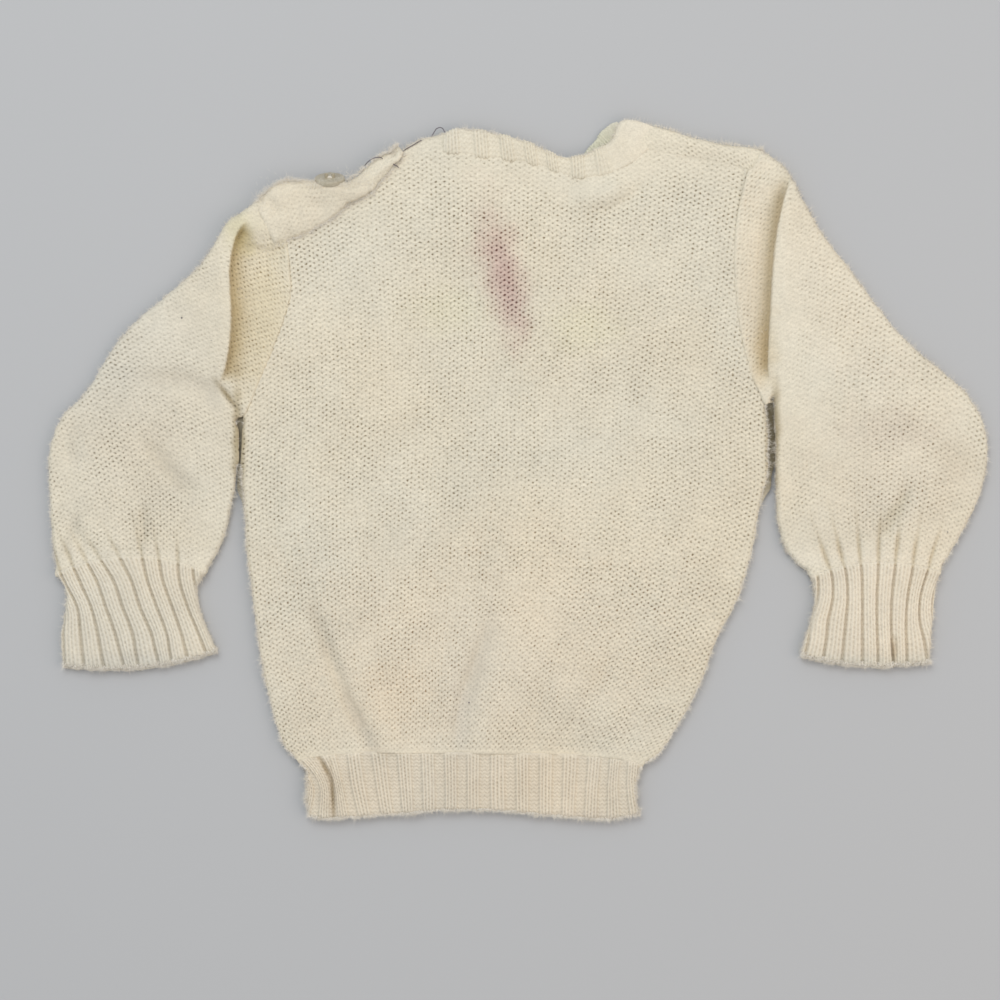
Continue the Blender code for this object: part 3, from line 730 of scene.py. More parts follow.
leftSleeveNet = netFrom(
    [0, 8, 16, 24, 32, 40, 48], [0, 10, 20, 30, 42, 56, 74, 92],
    [(-240, -219, -190, -165, -140, -115, -90), (-247, -219.5, -191, -163, -135, -107, -80),
     (-256, -226, -194.5, -164, -135, -107, -79), (-266, -234.5, -201, -168, -137, -109, -81),
     (-280, -247, -210, -173, -140, -111, -83), (-296, -262, -222, -180, -145, -115, -86),
     (-315, -280, -238, -190, -152, -120, -90), (-335, -298, -255, -205, -163, -127, -92)],
    [(-54, -47, -44, -46, -53, -63, -75), (-31, -23, -19.5, -21, -29, -41, -55),
     (-8, 1, 5, 4, -4, -17, -31), (15, 24.5, 29.5, 29, 21, 8, -8), (42, 52, 58, 58.5, 50, 38, 20),
     (72, 84, 91, 93, 84, 72, 55), (108, 122, 132, 136, 128, 116, 100), (150, 165, 178, 183, 175, 160, 142)])
rightSleeveNet = netFrom(
    [0, 7, 14, 21, 28, 35], [0, 9, 19, 29, 41, 55, 73, 87],
    [(118, 140, 162, 184, 206, 228), (111, 135, 159.5, 185, 211, 235.5), (106, 131.5, 158, 187, 216, 242),
     (104, 130.5, 158, 189, 220, 248), (104, 131.5, 160, 192, 225, 254), (105, 133, 163, 196, 230, 261),
     (107, 136, 167, 201, 237, 270), (109, 139, 171, 206, 243, 278)],
    [(-60, -52, -46, -44, -46, -53), (-38, -30, -24, -22, -24.5, -32), (-13, -5, 1, 3, 0, -8),
     (12, 20, 26, 28, 26, 18), (41, 50, 57, 60, 59, 52), (75, 85, 93, 97, 97, 91),
     (119, 130, 139, 144, 145, 140), (153, 165, 175, 181, 183, 178)])
hemNet = netFrom(  # one wale for each purled gutter
    list(range(14)), [0, 5, 9.4, 17],
    [(-102.5, -88.7, -76.5, -63.5, -51.2, -39.5, -28.2, -16.5, -4, 8, 20, 32.5, 44, 53.5),
     (-96.5, -87.2, -75, -62.6, -50.8, -39.2, -28.1, -16.6, -3.9, 8, 19.8, 32, 43.2, 52.6),
     (-93.4, -85.8, -73.8, -61.8, -50.4, -39, -28, -16.8, -3.8, 8, 19.6, 31.4, 42.5, 52.2),
     (-92.3, -82.5, -71, -60, -50, -39, -28, -16.5, -3.5, 8, 19.4, 30.6, 42, 53.4)],
    [[y] * 14 for y in (-141, -150, -158, -173)])
leftCuffNet = netFrom(
    list(range(9)), [0, 4, 9.4, 14.8, 18.8],
    [(-231, -223.9, -216.2, -208.6, -198.5, -187.6, -179.4, -170, -162.7),
     (-227.3, -219.6, -210.9, -202.5, -193.5, -185.4, -177.7, -169.4, -162),
     (-220.6, -213.6, -206.2, -197.8, -189.1, -180.7, -173, -165.3, -158.6),
     (-218.9, -210.2, -201.5, -192.8, -183.4, -175.7, -168.4, -159.8, -153),
     (-217.9, -208.5, -198.8, -191.1, -181, -174, -166, -156, -149)],
    [[y] * 9 for y in (-45, -55, -68.5, -82, -92)])
rightCuffNet = netFrom(
    list(range(7)), [0, 3.6, 8.5, 13.3, 17, 20],
    [(153.4, 161.6, 171, 180.4, 189.2, 198.3, 207.3), (156.7, 164, 171.9, 180.1, 188.3, 197, 204.6),
     (157.5, 164.9, 172.2, 179.5, 187, 194.9, 201.3), (155.2, 164, 172.3, 179.5, 186.6, 194.1, 201),
     (154.3, 163.1, 172.3, 179.8, 187, 194.3, 203.1), (153.1, 162.5, 172.4, 180.1, 187.6, 194.6, 204.6)],
    [[y] * 7 for y in (-42.3, -51.4, -63.5, -75.6, -84.7, -92.6)])


def ribRelief(gutter, depth, rise, seed, purled=2, soft=0.0, dome=0.25, dark=0.2, purlPit=0.85):
    # ribs two stitches wide, between purled gutters; the pit is painted shade in the gutters and in the holes
    # along the ribs
    def relief(wale, row, flat):
        shade = np.random.default_rng(seed)
        part = wale - np.floor(wale)
        side = np.minimum(part, 1 - part)
        ridge = smoothStep(gutter - 0.05, gutter + 0.06, side)
        across = np.clip((part - gutter) / (1 - 2 * gutter), 0, 1)
        leg = (0.5 - 0.5 * np.cos(8 * np.pi * across)) ** 0.7
        lean = np.where(np.floor(across * 4) % 2 < 1, 0.2, -0.2)
        beat = 0.5 + 0.5 * np.cos(2 * np.pi * (row + lean))
        middle = np.abs(across - 0.5) < 0.12
        dot = (1 - leg) * (0.35 + 0.65 * (0.5 + 0.5 * np.cos(2 * np.pi * (row + 0.5 * middle))))
        bend = np.abs(((part + gutter) % 1) / (2 * gutter) * purled % 1 - 0.5)
        purl = np.cos(2 * np.pi * (row + bend))
        felt = 0.5 + 0.5 * spreadNoise(*flat.T, knit["felting"], seed)
        felt = (1 - soft) * (0.7 + 0.3 * felt) * shade.uniform(0.7, 1.15, len(flat))
        height = ridge * (rise + 0.42 * leg * (0.75 + 0.25 * beat) - 0.25 * dot * felt)
        height += ridge * dome * np.sin(np.pi * across)
        height += (1 - ridge) * (-depth + 0.25 * purlPit * purl * (1 - 0.5 * soft))
        # painted shade in the purled gutters, deepest where the purl bumps dip
        hollow = dark + (purlPit - dark) * np.clip(-purl, 0, 1) ** 2 * felt
        pit = ridge * dot * 0.85 * felt + (1 - ridge) * hollow
        height += shade.normal(0, 0.03, len(flat))
        return height, np.clip(pit, 0, 1)

    return relief


def stocking(seed, least=0.25, most=1.0, calmBelow=None):
    return lambda wale, row, flat: stockingRelief(wale, row, flat, seed, least, most, calmBelow)


def wired(tree, node, values):  # each input gets a number, a colour or another node's output
    for name, value in values.items():
        if isinstance(value, bpy.types.NodeSocket):
            tree.links.new(value, node.inputs[name])
        else:
            node.inputs[name].default_value = value


def calc(tree, operation, *values):  # one maths node
    node = tree.nodes.new("ShaderNodeMath")
    node.operation = operation
    wired(tree, node, dict(enumerate(values)))
    return node.outputs[0]


def mapped(tree, value, fromLow, fromHigh, toLow, toHigh, smooth=False):
    node = tree.nodes.new("ShaderNodeMapRange")
    node.interpolation_type = "SMOOTHSTEP" if smooth else "LINEAR"
    wired(tree, node, {"Value": value, "From Min": fromLow, "From Max": fromHigh,
                       "To Min": toLow, "To Max": toHigh})
    return node.outputs["Result"]


def multiplied(tree, first, second, factor=1.0):  # two colours multiplied
    node = tree.nodes.new("ShaderNodeMix")
    node.data_type = "RGBA"
    node.blend_type = "MULTIPLY"
    wired(tree, node, {"Factor": factor, "A": first, "B": second})
    return node.outputs["Result"]


def noise(tree, vector, scale, detail, roughness=0.6):
    node = tree.nodes.new("ShaderNodeTexNoise")
    wired(tree, node, {"Vector": vector, "Scale": scale, "Detail": detail, "Roughness": roughness})
    return node.outputs["Fac"]


def clouded(tree, amount, places, colours):  # from one colour to another
    ramp = tree.nodes.new("ShaderNodeValToRGB")
    for element, place, colour in zip(ramp.color_ramp.elements, places, colours):
        element.position = place
        element.color = (*colour, 1)
    tree.links.new(amount, ramp.inputs["Fac"])
    return ramp.outputs["Color"]


def bumped(tree, height, strength, depth):
    bump = tree.nodes.new("ShaderNodeBump")
    wired(tree, bump, {"Strength": strength, "Distance": depth * mm, "Height": height})
    return bump.outputs["Normal"]


def newGroup(name, inputs, outputs):  # also the sockets inside it that give and take values
    group = bpy.data.node_groups.new(name, "ShaderNodeTree")
    for direction, sockets in (("INPUT", inputs), ("OUTPUT", outputs)):
        for label, kind in sockets:
            group.interface.new_socket(label, in_out=direction, socket_type="NodeSocket" + kind)
    return group, group.nodes.new("NodeGroupInput").outputs, group.nodes.new("NodeGroupOutput").inputs


def stitchGroup():  # zigzag strands with a hole in each bend, drawn in wales and rows; also the painted highlight along the strands and how much painted shade each hole gets
    group, given, out = newGroup("knittedStitches", [("Openness", "Float")],
                                 [("Hole", "Float"), ("Shade", "Float"), ("Height", "Float")])
    knitMap = group.nodes.new("ShaderNodeUVMap")
    knitMap.uv_map = "knit"
    place = knitMap.outputs["UV"]
    parts = group.nodes.new("ShaderNodeSeparateXYZ")
    group.links.new(place, parts.inputs["Vector"])

    def wander(start, scale, detail, amount):  # moved a little to either side by noise
        return calc(group, "ADD", start,
                    calc(group, "MULTIPLY_ADD", noise(group, place, scale, detail), amount, -amount / 2))

    def times(first, second):
        return calc(group, "MULTIPLY", first, second)

    def wave(value):  # once for every wale or row
        return calc(group, "COSINE", times(value, 2 * math.pi))

    wale = wander(wander(parts.outputs["X"], 0.7, 2.0, 0.36), 3.1, 1.0, 0.34)
    row = wander(wander(parts.outputs["Y"], 1.3, 1.0, 0.3), 4.3, 1.0, 0.34)
    side = wave(wale)
    rounded = calc(group, "MULTIPLY_ADD", calc(group, "ABSOLUTE", side), 1.4, times(side, wave(row)))
    opened = times(given["Openness"], mapped(group, noise(group, place, 1.9, 1.0), 0.35, 0.65, 0.55, 1.35))
    hole = times(mapped(group, rounded, 1.4, 2.3, 0.0, 1.0, True), opened)
    zigzag = calc(group, "ADD", row, calc(group, "PINGPONG", wale, 0.5))
    strand = wave(calc(group, "SUBTRACT", zigzag, 0.5))
    clear = calc(group, "MULTIPLY_ADD", given["Openness"], 0.75, 0.25)
    strandVariation = mapped(group, noise(group, place, 2.6, 2.0), 0.35, 0.65, 0.25, 1.1)
    # Shade: painted highlight along each strand's crest and painted shade between, made uneven by noise
    crest = times(times(strand, clear), strandVariation)
    group.links.new(hole, out["Hole"])
    group.links.new(calc(group, "MULTIPLY_ADD", crest, 0.105, 1.0), out["Shade"])
    group.links.new(calc(group, "MULTIPLY_ADD", hole, -0.8, times(crest, 0.45)), out["Height"])
    return group


def woolGroup():  # colour, wear and nap of the yarn itself, with painted shade in its holes and painted highlights and shade along its strands
    group, given, out = newGroup(
        "woolSurface",
        [("Base Colour", "Color"), ("Hole Shade Colour", "Color"), ("Hole", "Float"), ("Shade", "Float"),
         ("Tint", "Color"), ("Mottling", "Float")],
        [("Colour", "Color"), ("Roughness", "Float"), ("Nap", "Float")])
    spot = group.nodes.new("ShaderNodeTexCoord").outputs["Object"]
    clouds = clouded(group, noise(group, spot, 13.0, 3.0, 0.5), (0.32, 0.68),
                     ((0.965, 0.985, 1.0), (1.0, 0.98, 0.945)))
    colour = multiplied(group, given["Base Colour"], given["Tint"])
    colour = multiplied(group, colour, clouds, given["Mottling"])
    deep = multiplied(group, given["Tint"], given["Tint"])
    dark = multiplied(group, given["Hole Shade Colour"], multiplied(group, deep, given["Tint"]))
    # painted shade: holes and gutters darkened towards the hole shade colour, deeper under a stain
    colour = multiplied(group, colour, dark, calc(group, "POWER", given["Hole"], 1.2))
    lint = noise(group, spot, 1400.0, 2.0)
    fluff = noise(group, spot, 420.0, 4.0, 0.7)
    grey = calc(group, "MULTIPLY", mapped(group, fluff, 0.3, 0.7, 0.935, 1.055),
                mapped(group, noise(group, spot, 45.0, 3.0), 0.3, 0.7, 0.95, 1.03))
    grey = calc(group, "MULTIPLY", grey, mapped(group, lint, 0.3, 0.7, 0.92, 1.08))
    grey = calc(group, "MULTIPLY", grey, given["Shade"])
    scaled = group.nodes.new("ShaderNodeVectorMath")
    scaled.operation = "SCALE"
    wired(group, scaled, {0: colour, "Scale": grey})
    group.links.new(scaled.outputs["Vector"], out["Colour"])
    group.links.new(mapped(group, lint, 0.0, 1.0, 0.85, 1.0), out["Roughness"])
    group.links.new(calc(group, "MULTIPLY_ADD", lint, 0.4, fluff), out["Nap"])
    return group


knittedStitches = stitchGroup()
woolSurface = woolGroup()


def newMaterial(name, settings):
    made = bpy.data.materials.new(name)
    made.use_nodes = True
    tree = made.node_tree
    shader = tree.nodes["Principled BSDF"]
    wired(tree, shader, settings)
    return made, tree, shader


def placedGroup(tree, group):
    node = tree.nodes.new("ShaderNodeGroup")
    node.node_tree = group
    return node


def cornerValues(tree, name):  # values stored on the corners of the mesh
    node = tree.nodes.new("ShaderNodeAttribute")
    node.attribute_name = name
    return node.outputs


def woolMaterial(name, colour, hole, stitched):
    made, tree, shader = newMaterial(
        name, {"Sheen Weight": 0.2, "Sheen Roughness": 0.45, "Specular IOR Level": 0.12})
    wool = placedGroup(tree, woolSurface)
    pit = cornerValues(tree, "pit")["Fac"]
    wired(tree, wool, {"Base Colour": (*colour, 1), "Hole Shade Colour": (*hole, 1), "Mottling": 0.9,
                       "Shade": 1.0, "Tint": cornerValues(tree, "tint")["Color"]})
    height = wool.outputs["Nap"]
    if stitched:
        stitches = placedGroup(tree, knittedStitches)
        wired(tree, stitches, {"Openness": pit})
        wired(tree, wool, {"Hole": stitches.outputs["Hole"], "Shade": stitches.outputs["Shade"]})
        height = calc(tree, "MULTIPLY_ADD", stitches.outputs["Height"], 1.6, height)
    else:
        wired(tree, wool, {"Hole": pit})
    wired(tree, shader, {"Base Color": wool.outputs["Colour"], "Roughness": wool.outputs["Roughness"],
                         "Normal": bumped(tree, height, 0.6, 0.3)})
    return made


# each wool's second colour is the painted shade in its holes and gutters
creamWool = woolMaterial("creamWool", (0.755, 0.69, 0.555), (0.43, 0.37, 0.28), True)
ribWool = woolMaterial("ribWool", (0.775, 0.71, 0.585), (0.38, 0.32, 0.23), False)
print("wool materials made")


def foldedBand(name, band, relief, material):
    # cloth that comes up from the table, round the outline and back over the garment: one closed shell
    rows = np.array(band["rows"], float)
    knots = np.concatenate([[0], np.cumsum(np.linalg.norm(np.diff(rows[:, 0:2], axis=0), axis=1))])
    count = int(knots[-1] / band["step"]) + 1
    places = np.linspace(0, knots[-1], count)
    rows = splineWeights(knots, places) @ rows
    outline, edge, lower = rows[:, 0:2], rows[:, 2:4], rows[:, 4:6]
    crest, rim, clear = rows[:, 6], rows[:, 7], np.clip(rows[:, 8], 0, 1)
    inward = (edge - outline) / np.linalg.norm(edge - outline, axis=1)[:, None]
    outline = outline - inward * (band["bulges"] * spreadNoise(places, 0 * places, 3.4, 79))[:, None]
    edge = edge + inward * (band["bulges"] * 0.6 * spreadNoise(places, 0 * places, 2.9, 80))[:, None]
    wall = band["wall"]

    def leg(offset):  # points across the band, from under it, round the turn, to its free edge on top
        high = crest - offset
        low = 0.05 + offset
        half = (high - low) / 2
        reach = np.minimum(band["turn"], half) - offset * 0.4
        centre = outline + inward * np.minimum(band["turn"], crest / 2)[:, None]
        columns = [np.column_stack([lower * (1 - t) + centre * t, low + 0 * high])
                   for t in (0, 0.35, 0.7)]
        for turn in np.linspace(-math.pi / 2, math.pi / 2, band["turnSteps"]):
            columns.append(np.column_stack([centre - inward * (reach * math.cos(turn))[:, None],
                                            low + half + half * math.sin(turn)]))
        puff = band["puff"] * (offset < 0.1)
        for k in range(1, band["topSteps"] + 1):
            t = k / band["topSteps"]
            top = high + (rim + wall - offset - high) * smoothStep(0, 1, t) + puff * math.sin(math.pi * t)
            columns.append(np.column_stack([centre + (edge - centre) * t, top]))
        return np.stack(columns, axis=1)

    outer = leg(0.0)
    inner = leg(wall)
    across = outer.shape[1]
    length = np.cumsum(np.concatenate([np.zeros((count, 1)),
                                       np.linalg.norm(np.diff(outer, axis=1), axis=2)], axis=1), axis=1)
    wale = np.repeat(places[:, None] / cloth["waleWidth"], across, axis=1)
    row = (length - length[:, -1:]) / cloth["rowHeight"]
    normal = np.cross(np.gradient(outer, axis=1), np.gradient(outer, axis=0))
    normal /= np.linalg.norm(normal, axis=2)[:, :, None]
    flat = outer[:, :, :2].reshape(-1, 2)
    height, pit = relief(wale.ravel(), row.ravel(), flat)
    seen = clear[:, None] * (1 - band["fluffy"] * (1 - smoothStep(0.55, 0.9, length / length[:, -1:])))
    height = height.reshape(count, across) * seen
    pit = pit * seen.ravel()
    fromEdge = length[:, -1:] - length
    rounding = roundDrop(fromEdge, band["edgeRadius"], band["edgeDrop"])
    ends = np.minimum(places, places[-1] - places)[:, None]
    rounding = rounding + roundDrop(ends, 2.4, band["endDrop"])
    lumps = band["lumps"] * spreadNoise(outer[:, :, 0], outer[:, :, 1], 8.0, 77)
    fade = smoothStep(0, 2.5, fromEdge) * smoothStep(0, 2.5, ends)
    creases = creaseHeight(flat, band["creases"]).reshape(count, across)
    creases = creases * smoothStep(2.0, 5.0, outer[:, :, 2])
    outer = outer + normal * (height * (0.3 + 0.7 * fade) - rounding + lumps * fade + creases)[:, :, None]
    outer[:, :, 2] = np.maximum(outer[:, :, 2], cloth["lowest"])
    total = count * across
    verts = np.vstack([outer.reshape(-1, 3), inner.reshape(-1, 3)])
    faces = []
    for i in range(count - 1):
        for j in range(across - 1):
            face = [i * across + j, i * across + j + 1, (i + 1) * across + j + 1, (i + 1) * across + j]
            faces += [face, [total + corner for corner in face[::-1]]]
        for j, flip in ((0, False), (across - 1, True)):
            a, d = i * across + j, (i + 1) * across + j
            strip = [a, d, total + d, total + a]
            faces.append(strip[::-1] if flip else strip)
    for i, flip in ((0, True), (count - 1, False)):
        for j in range(across - 1):
            a, b = i * across + j, i * across + j + 1
            strip = [a, b, total + b, total + a]
            faces.append(strip[::-1] if flip else strip)
    uv = np.column_stack([wale.ravel(), row.ravel()])
    along = (np.arange(count) < count - 1) * 1.0
    fuzzyEdges.append(((outline - inward * 0.7)[::-1], along * band["fluff"], float(crest.mean()) * 0.6, 1.8))
    fuzzyEdges.append((edge, along * band["fluff"] * 0.7, float(rim.mean()) + wall - 0.9, 0.3))
    return clothObject(name, verts, faces, [True] * len(faces), np.vstack([uv, uv]),
                       np.concatenate([pit, pit * 0.3]), tintAt(verts[:, :2], band["stainsAndShade"]), material)


backCreases = [  # points along it, rise, width on its left, width on its right
    ([(-107, -58), (-103, -68), (-95, -90), (-87, -113), (-78, -131), (-71, -148)], -3.2, 4.0, 3.2),
    ([(-80, -92), (-74, -113), (-66, -133), (-60, -150)], 1.6, 6, 6),
    ([(-12, -66), (-19, -90), (-28, -116), (-33, -150)], -3.0, 8, 3.0),
    ([(-20, -66), (-27, -90), (-36, -116), (-41, -150)], 1.0, 3, 6),
    ([(-12, -100), (-14, -122), (-17, -150)], 1.2, 8, 7),
    ([(16, -92), (12, -116), (7, -150)], -1.5, 4.5, 5.5),
    ([(50, -84), (40, -108), (29, -126), (22, -150)], -1.9, 6, 5),
    ([(62, -96), (53, -118), (44, -148)], 1.2, 6, 7),
    ([(-66, 30), (-50, 15), (-38, -8), (-34, -30)], -1.5, 12, 10),
    ([(-30, 28), (-18, 10), (-10, -20)], 0.9, 12, 14),
    ([(-108, 24), (-104, -5), (-100, -40)], 0.9, 10, 12),
    ([(-40, -20), (-44, -60), (-38, -90)], -1.0, 12, 9),
    ([(92, 10), (96, -20), (90, -50)], -1.1, 10, 12),
    ([(24, 138), (34, 136), (44, 138), (56, 148)], 2.6, 5, 6),
    ([(33, 131), (45, 130), (56, 136), (67, 148)], -2.2, 3.5, 5),
    ([(-34, 150), (-5, 146), (22, 140)], -0.9, 3, 6)]
leftCreases = [
    ([(-143, 113), (-130, 110.0), (-122.5, 109.5), (-112, 115)], -2.6, 2.0, 5),
    ([(-143, 122), (-130, 121), (-118, 122)], 2.2, 6, 6),
    ([(-150, 45.5), (-143.5, 34.5), (-140, 29.5), (-138.6, 20), (-138, 6)], -4.5, 1.5, 1.5),
    ([(-192, 19), (-186, 13), (-175, 1), (-163, -11), (-153, -17)], -3.0, 6, 3.6),
    ([(-195, 50), (-180, 45), (-166, 44), (-154, 38), (-146, 30)], -2.8, 5, 4.5),
    ([(-222, 26), (-224, 12), (-222, -2)], -2.0, 5, 4),
    ([(-226, -22), (-219, -36), (-212, -50)], -1.9, 3.5, 3.5),
    ([(-188, -16), (-187.5, -27), (-186, -40)], -1.8, 4.5, 2.2),
    ([(-200, -30), (-202, -40), (-204, -52)], 1.0, 5, 5),
    ([(-176, 30), (-190, 20), (-205, 14)], 0.8, 8, 8)]
rightCreases = [
    ([(198, -5), (191, -18), (185, -30), (182, -38)], -2.8, 3.5, 4),
    ([(172, 24), (190, 20), (208, 22)], -1.1, 8, 9),
    ([(212, 0), (216, -16), (208, -34)], -1.1, 6, 6),
    ([(150, 0), (158, -20), (162, -42)], 0.9, 8, 8),
    ([(176, 66), (170, 50), (160, 30)], 0.7, 10, 10)]
hollowShade = (0.62, 0.57, 0.46)  # deep in the slits at the underarms
backStainsAndShade = [  # x, y, reach, reach, turn, colour, strength; real stains, painted shade and painted highlights
    (-8, 100, 12, 31, 12, (0.94, 0.87, 0.885), 0.9), (-5.5, 93, 7, 25, 14, (0.87, 0.755, 0.80), 0.9),
    (-11, 117, 7, 6, 0, (0.93, 0.87, 0.87), 0.8),
    (-34, 80, 20, 12, 0, (0.97, 1.0, 0.90), 0.4), (33, 72, 18, 12, 0, (0.97, 1.0, 0.90), 0.45),
    # lighter and warmer over the lower body; a little greyer just above the rib
    (-20, -95, 105, 60, 0, (1.03, 1.0, 0.985), 1.0), (-25, -144, 130, 4, 0, (0.955, 0.94, 0.915), 0.8),
    # painted highlight on the ridge beside the lower left fold
    (-62, -118, 20, 26, 0, (1.025, 0.995, 0.965), 0.9),
    # painted shade deep in the underarm slits
    (-138.6, 16, 2.2, 24, 0, hollowShade, 1.0), (126.0, 20, 2.0, 24, 0, hollowShade, 1.0),
    # painted shade in the folds of the lower body; the small round mark at the lower left is only a little
    # greyer
    (-96, -88, 22, 3.6, -66, (0.83, 0.83, 0.83), 0.85), (-80, -126, 20, 3.6, -60, (0.80, 0.80, 0.81), 0.9),
    (-22, -104, 32, 5.5, 75, (0.85, 0.855, 0.87), 0.85), (-29, -128, 5, 17, 0, (0.95, 0.955, 0.975), 0.8),
    (-92, -132, 10, 12, 0, (0.97, 0.975, 0.985), 0.8), (24, -125, 16, 5, 62, (0.95, 0.95, 0.95), 0.8),
    # painted highlight on the ridge of the lower right fold
    (52, -118, 14, 5, 62, (1.02, 1.01, 1.0), 0.8)]
backMatted = [  # x, y, reach, reach, turn, how far it has felted shut; below 0 it is more open
    (36, 141, 13, 7, 0, 0.85), (58, 151, 14, 10, 30, 0.7), (84, 152, 22, 6, -12, 0.5),
    (-6, 97, 9, 30, 13, -0.75), (40, 20, 30, 14, 0, 0.3), (-60, 60, 20, 26, 0, 0.25),
    (-88, -130, 16, 12, 0, 0.35), (-20, 150, 24, 6, -7, 0.6), (12, 146, 16, 6, -22, 0.6),
    (-25, -145, 120, 6, 0, 0.5), (-22, -104, 32, 6, 75, 0.6), (-86, -112, 32, 3.5, -62, 0.6)]

backPanel = panelPiece(
    "back_panel", bodyNet(),
    {"back_hem_rib": 1, "left_sleeve": 2, "right_sleeve": 2, "back_neckband": 1, "front_right_shoulder": 1,
     "button_band": 1, "buttonhole_band": 1},
    stocking(11, 0.37, 1.0),
    {"name": "backPanel", "across": 4, "up": 2, "inner": 2.65, "rim": None, "creases": backCreases,
     "stainsAndShade": backStainsAndShade, "matted": backMatted, "groove": 0.9, "blend": 4.5,
     "pulls": [(-138.5, 20, 6, 11, 0.9, 0), (-138, -4, 5, 6, -0.8, 0), (124.5, -3, 6, 6, 1.2, 0)]}, creamWool)
frontPanel = panelPiece(
    "front_panel", bodyNet(), {"front_hem_rib": 1, "left_sleeve": 2, "right_sleeve": 2, "front_neckband": 2},
    stocking(12),
    {"name": "frontPanel", "across": 2, "up": 1, "inner": 2.45, "rim": {"radius": 1.2, "depth": 1.2},
     "faceUp": False,
     "pulls": [(-138.5, 24, 9, 8, -2.9, 0), (-138.5, 8, 9, 11, -3.3, 0), (-138, -9, 9, 7, -2.7, 0),
               (124.5, 34, 9, 7, 4.3, 0), (125.5, 20, 9, 10, 3.4, 0), (125.5, 4, 9, 10, 3.6, 0),
               (124, -9, 9, 6, 3.0, 0)],
     # painted shade: the panel's sides under the underarm slits are darkened almost to black
     "stainsAndShade": [(-140, 14, 9, 36, 0, (0.15, 0.135, 0.095), 1.0),
                (128, 16, 9, 38, 0, (0.15, 0.135, 0.095), 1.0)]},
    creamWool)
hemStainsAndShade = [
    # the rib's warmer tone; painted shade in two narrow lines along the crease at its left end; two small
    # greyer spots at its top; greyer and bluer along its lower edge
    (-25, -158, 110, 30, 0, (0.985, 0.955, 0.93), 1.0), (-92.9, -162, 13, 0.9, 93, (0.62, 0.56, 0.46), 0.9),
    (-96.4, -149.5, 6, 0.8, 118, (0.66, 0.60, 0.5), 0.85), (-70, -143, 5, 3, 0, (0.93, 0.93, 0.93), 0.7),
    (-32, -143, 5, 3, 0, (0.94, 0.94, 0.94), 0.7), (-20, -175, 120, 4, 0, (0.93, 0.935, 0.97), 0.8)]
backHem = panelPiece(
    "back_hem_rib", hemNet, {"back_panel": 1}, ribRelief(0.21, 0.35, 0.34, 21, dark=0.08, purlPit=0.6),
    {"name": "backHem", "across": 32, "up": 4, "inner": 2.65, "blend": 2.6, "tuck": 0.12, "fluff": 2.8,
     "creases": [
         ([(-105, -138), (-99.5, -144.5), (-95.4, -151.5), (-92.8, -161), (-92.5, -178)], -1.8, 0.9, 0.8),
         ([(-104, -145), (-98.5, -156), (-97, -172)], 1.0, 4, 3)],
     "stainsAndShade": hemStainsAndShade, "rim": {"radius": 2.2, "depth": 2.0}}, ribWool)
frontHem = panelPiece(
    "front_hem_rib", hemNet, {"front_panel": 1}, ribRelief(0.21, 0.25, 0.22, 22),
    {"name": "frontHem", "across": 16, "up": 3, "inner": 2.45, "rim": {"radius": 1.6, "depth": 1.6},
     "faceUp": False}, ribWool)
leftStainsAndShade = [
    # lighter and cooler near the cuff, yellowing at the armhole and a greyer tone over the sleeve; then
    # painted shade in its folds and creases, a painted shadow line at the top of the underarm slit, and
    # painted shade deep in the slit
    (-190, -45, 60, 6, 0, (1.02, 1.03, 1.055), 0.9),
    (-128, 78, 13, 40, -6, (0.985, 0.94, 0.83), 0.9), (-139, 118, 7, 10, 0, (0.93, 0.95, 0.80), 0.7),
    (-195, 40, 50, 75, 0, (0.95, 0.955, 0.98), 0.9), (-174, 0, 19, 4.2, -46, (0.84, 0.84, 0.84), 0.9),
    (-223, 12, 3.2, 12, 0, (0.90, 0.90, 0.90), 0.8), (-184, 45, 17, 4.5, -12, (0.90, 0.90, 0.905), 0.8),
    (-156, 38, 12, 5, -38, (0.87, 0.87, 0.88), 0.85), (-187, -29, 3, 10, 0, (0.86, 0.855, 0.84), 0.8),
    (-222, -30, 3, 12, -25, (0.88, 0.88, 0.88), 0.8), (-145.2, 36.8, 8.5, 1.3, -54, (0.42, 0.37, 0.27), 0.95),
    (-150, 22, 14, 5, -50, (0.96, 0.96, 0.96), 0.8), (-140.6, 16, 2.4, 24, 0, hollowShade, 1.0)]
rightStainsAndShade = [
    # lighter and cooler near the cuff, a warmer armhole strip, painted shade with some yellowing in its
    # hollow, and lighter, pinker tones over the sleeve; then painted shade in the sleeve's folds, a little
    # greyer near the cuff, and painted shade deep in the underarm slit
    (180, -45, 60, 6, 0, (1.05, 1.05, 1.065), 0.9),
    (117, 95, 9, 50, 0, (1.02, 0.975, 0.93), 0.8), (123, 60, 6, 16, 0, (0.90, 0.82, 0.68), 0.8),
    (160, 90, 30, 60, 35, (1.03, 1.02, 1.02), 0.9), (190, 0, 45, 45, 0, (0.99, 0.965, 0.955), 0.9),
    (188, -22, 12, 3.6, 59, (0.83, 0.825, 0.79), 0.9), (188, 20, 22, 9, 0, (0.93, 0.915, 0.92), 0.8),
    (217, 5, 10, 10, 0, (0.93, 0.92, 0.91), 0.8), (152, -35, 12, 10, 0, (0.96, 0.95, 0.94), 0.7),
    (128.8, 18, 2.2, 24, 0, hollowShade, 1.0)]


def addGutters(net, creases, stainsAndShade, reaches, colour):  # creases with painted shade along them, from inside a cuff up into its sleeve
    for k, reach in enumerate(reaches):
        high, low = net["points"][0][k], net["points"][1][k]
        up = (high[0] + (high[0] - low[0]) * reach / 10, high[1] + reach)
        creases.append(([(2 * low[0] - high[0], low[1] - 8), low, high, up], -2.0, 1.1, 1.1))
        turn = math.degrees(math.atan2(high[1] - low[1], high[0] - low[0]))
        stainsAndShade.append(((high[0] + low[0]) / 2, (high[1] + low[1]) / 2, reach + 9, 0.9, turn, colour, 0.85))


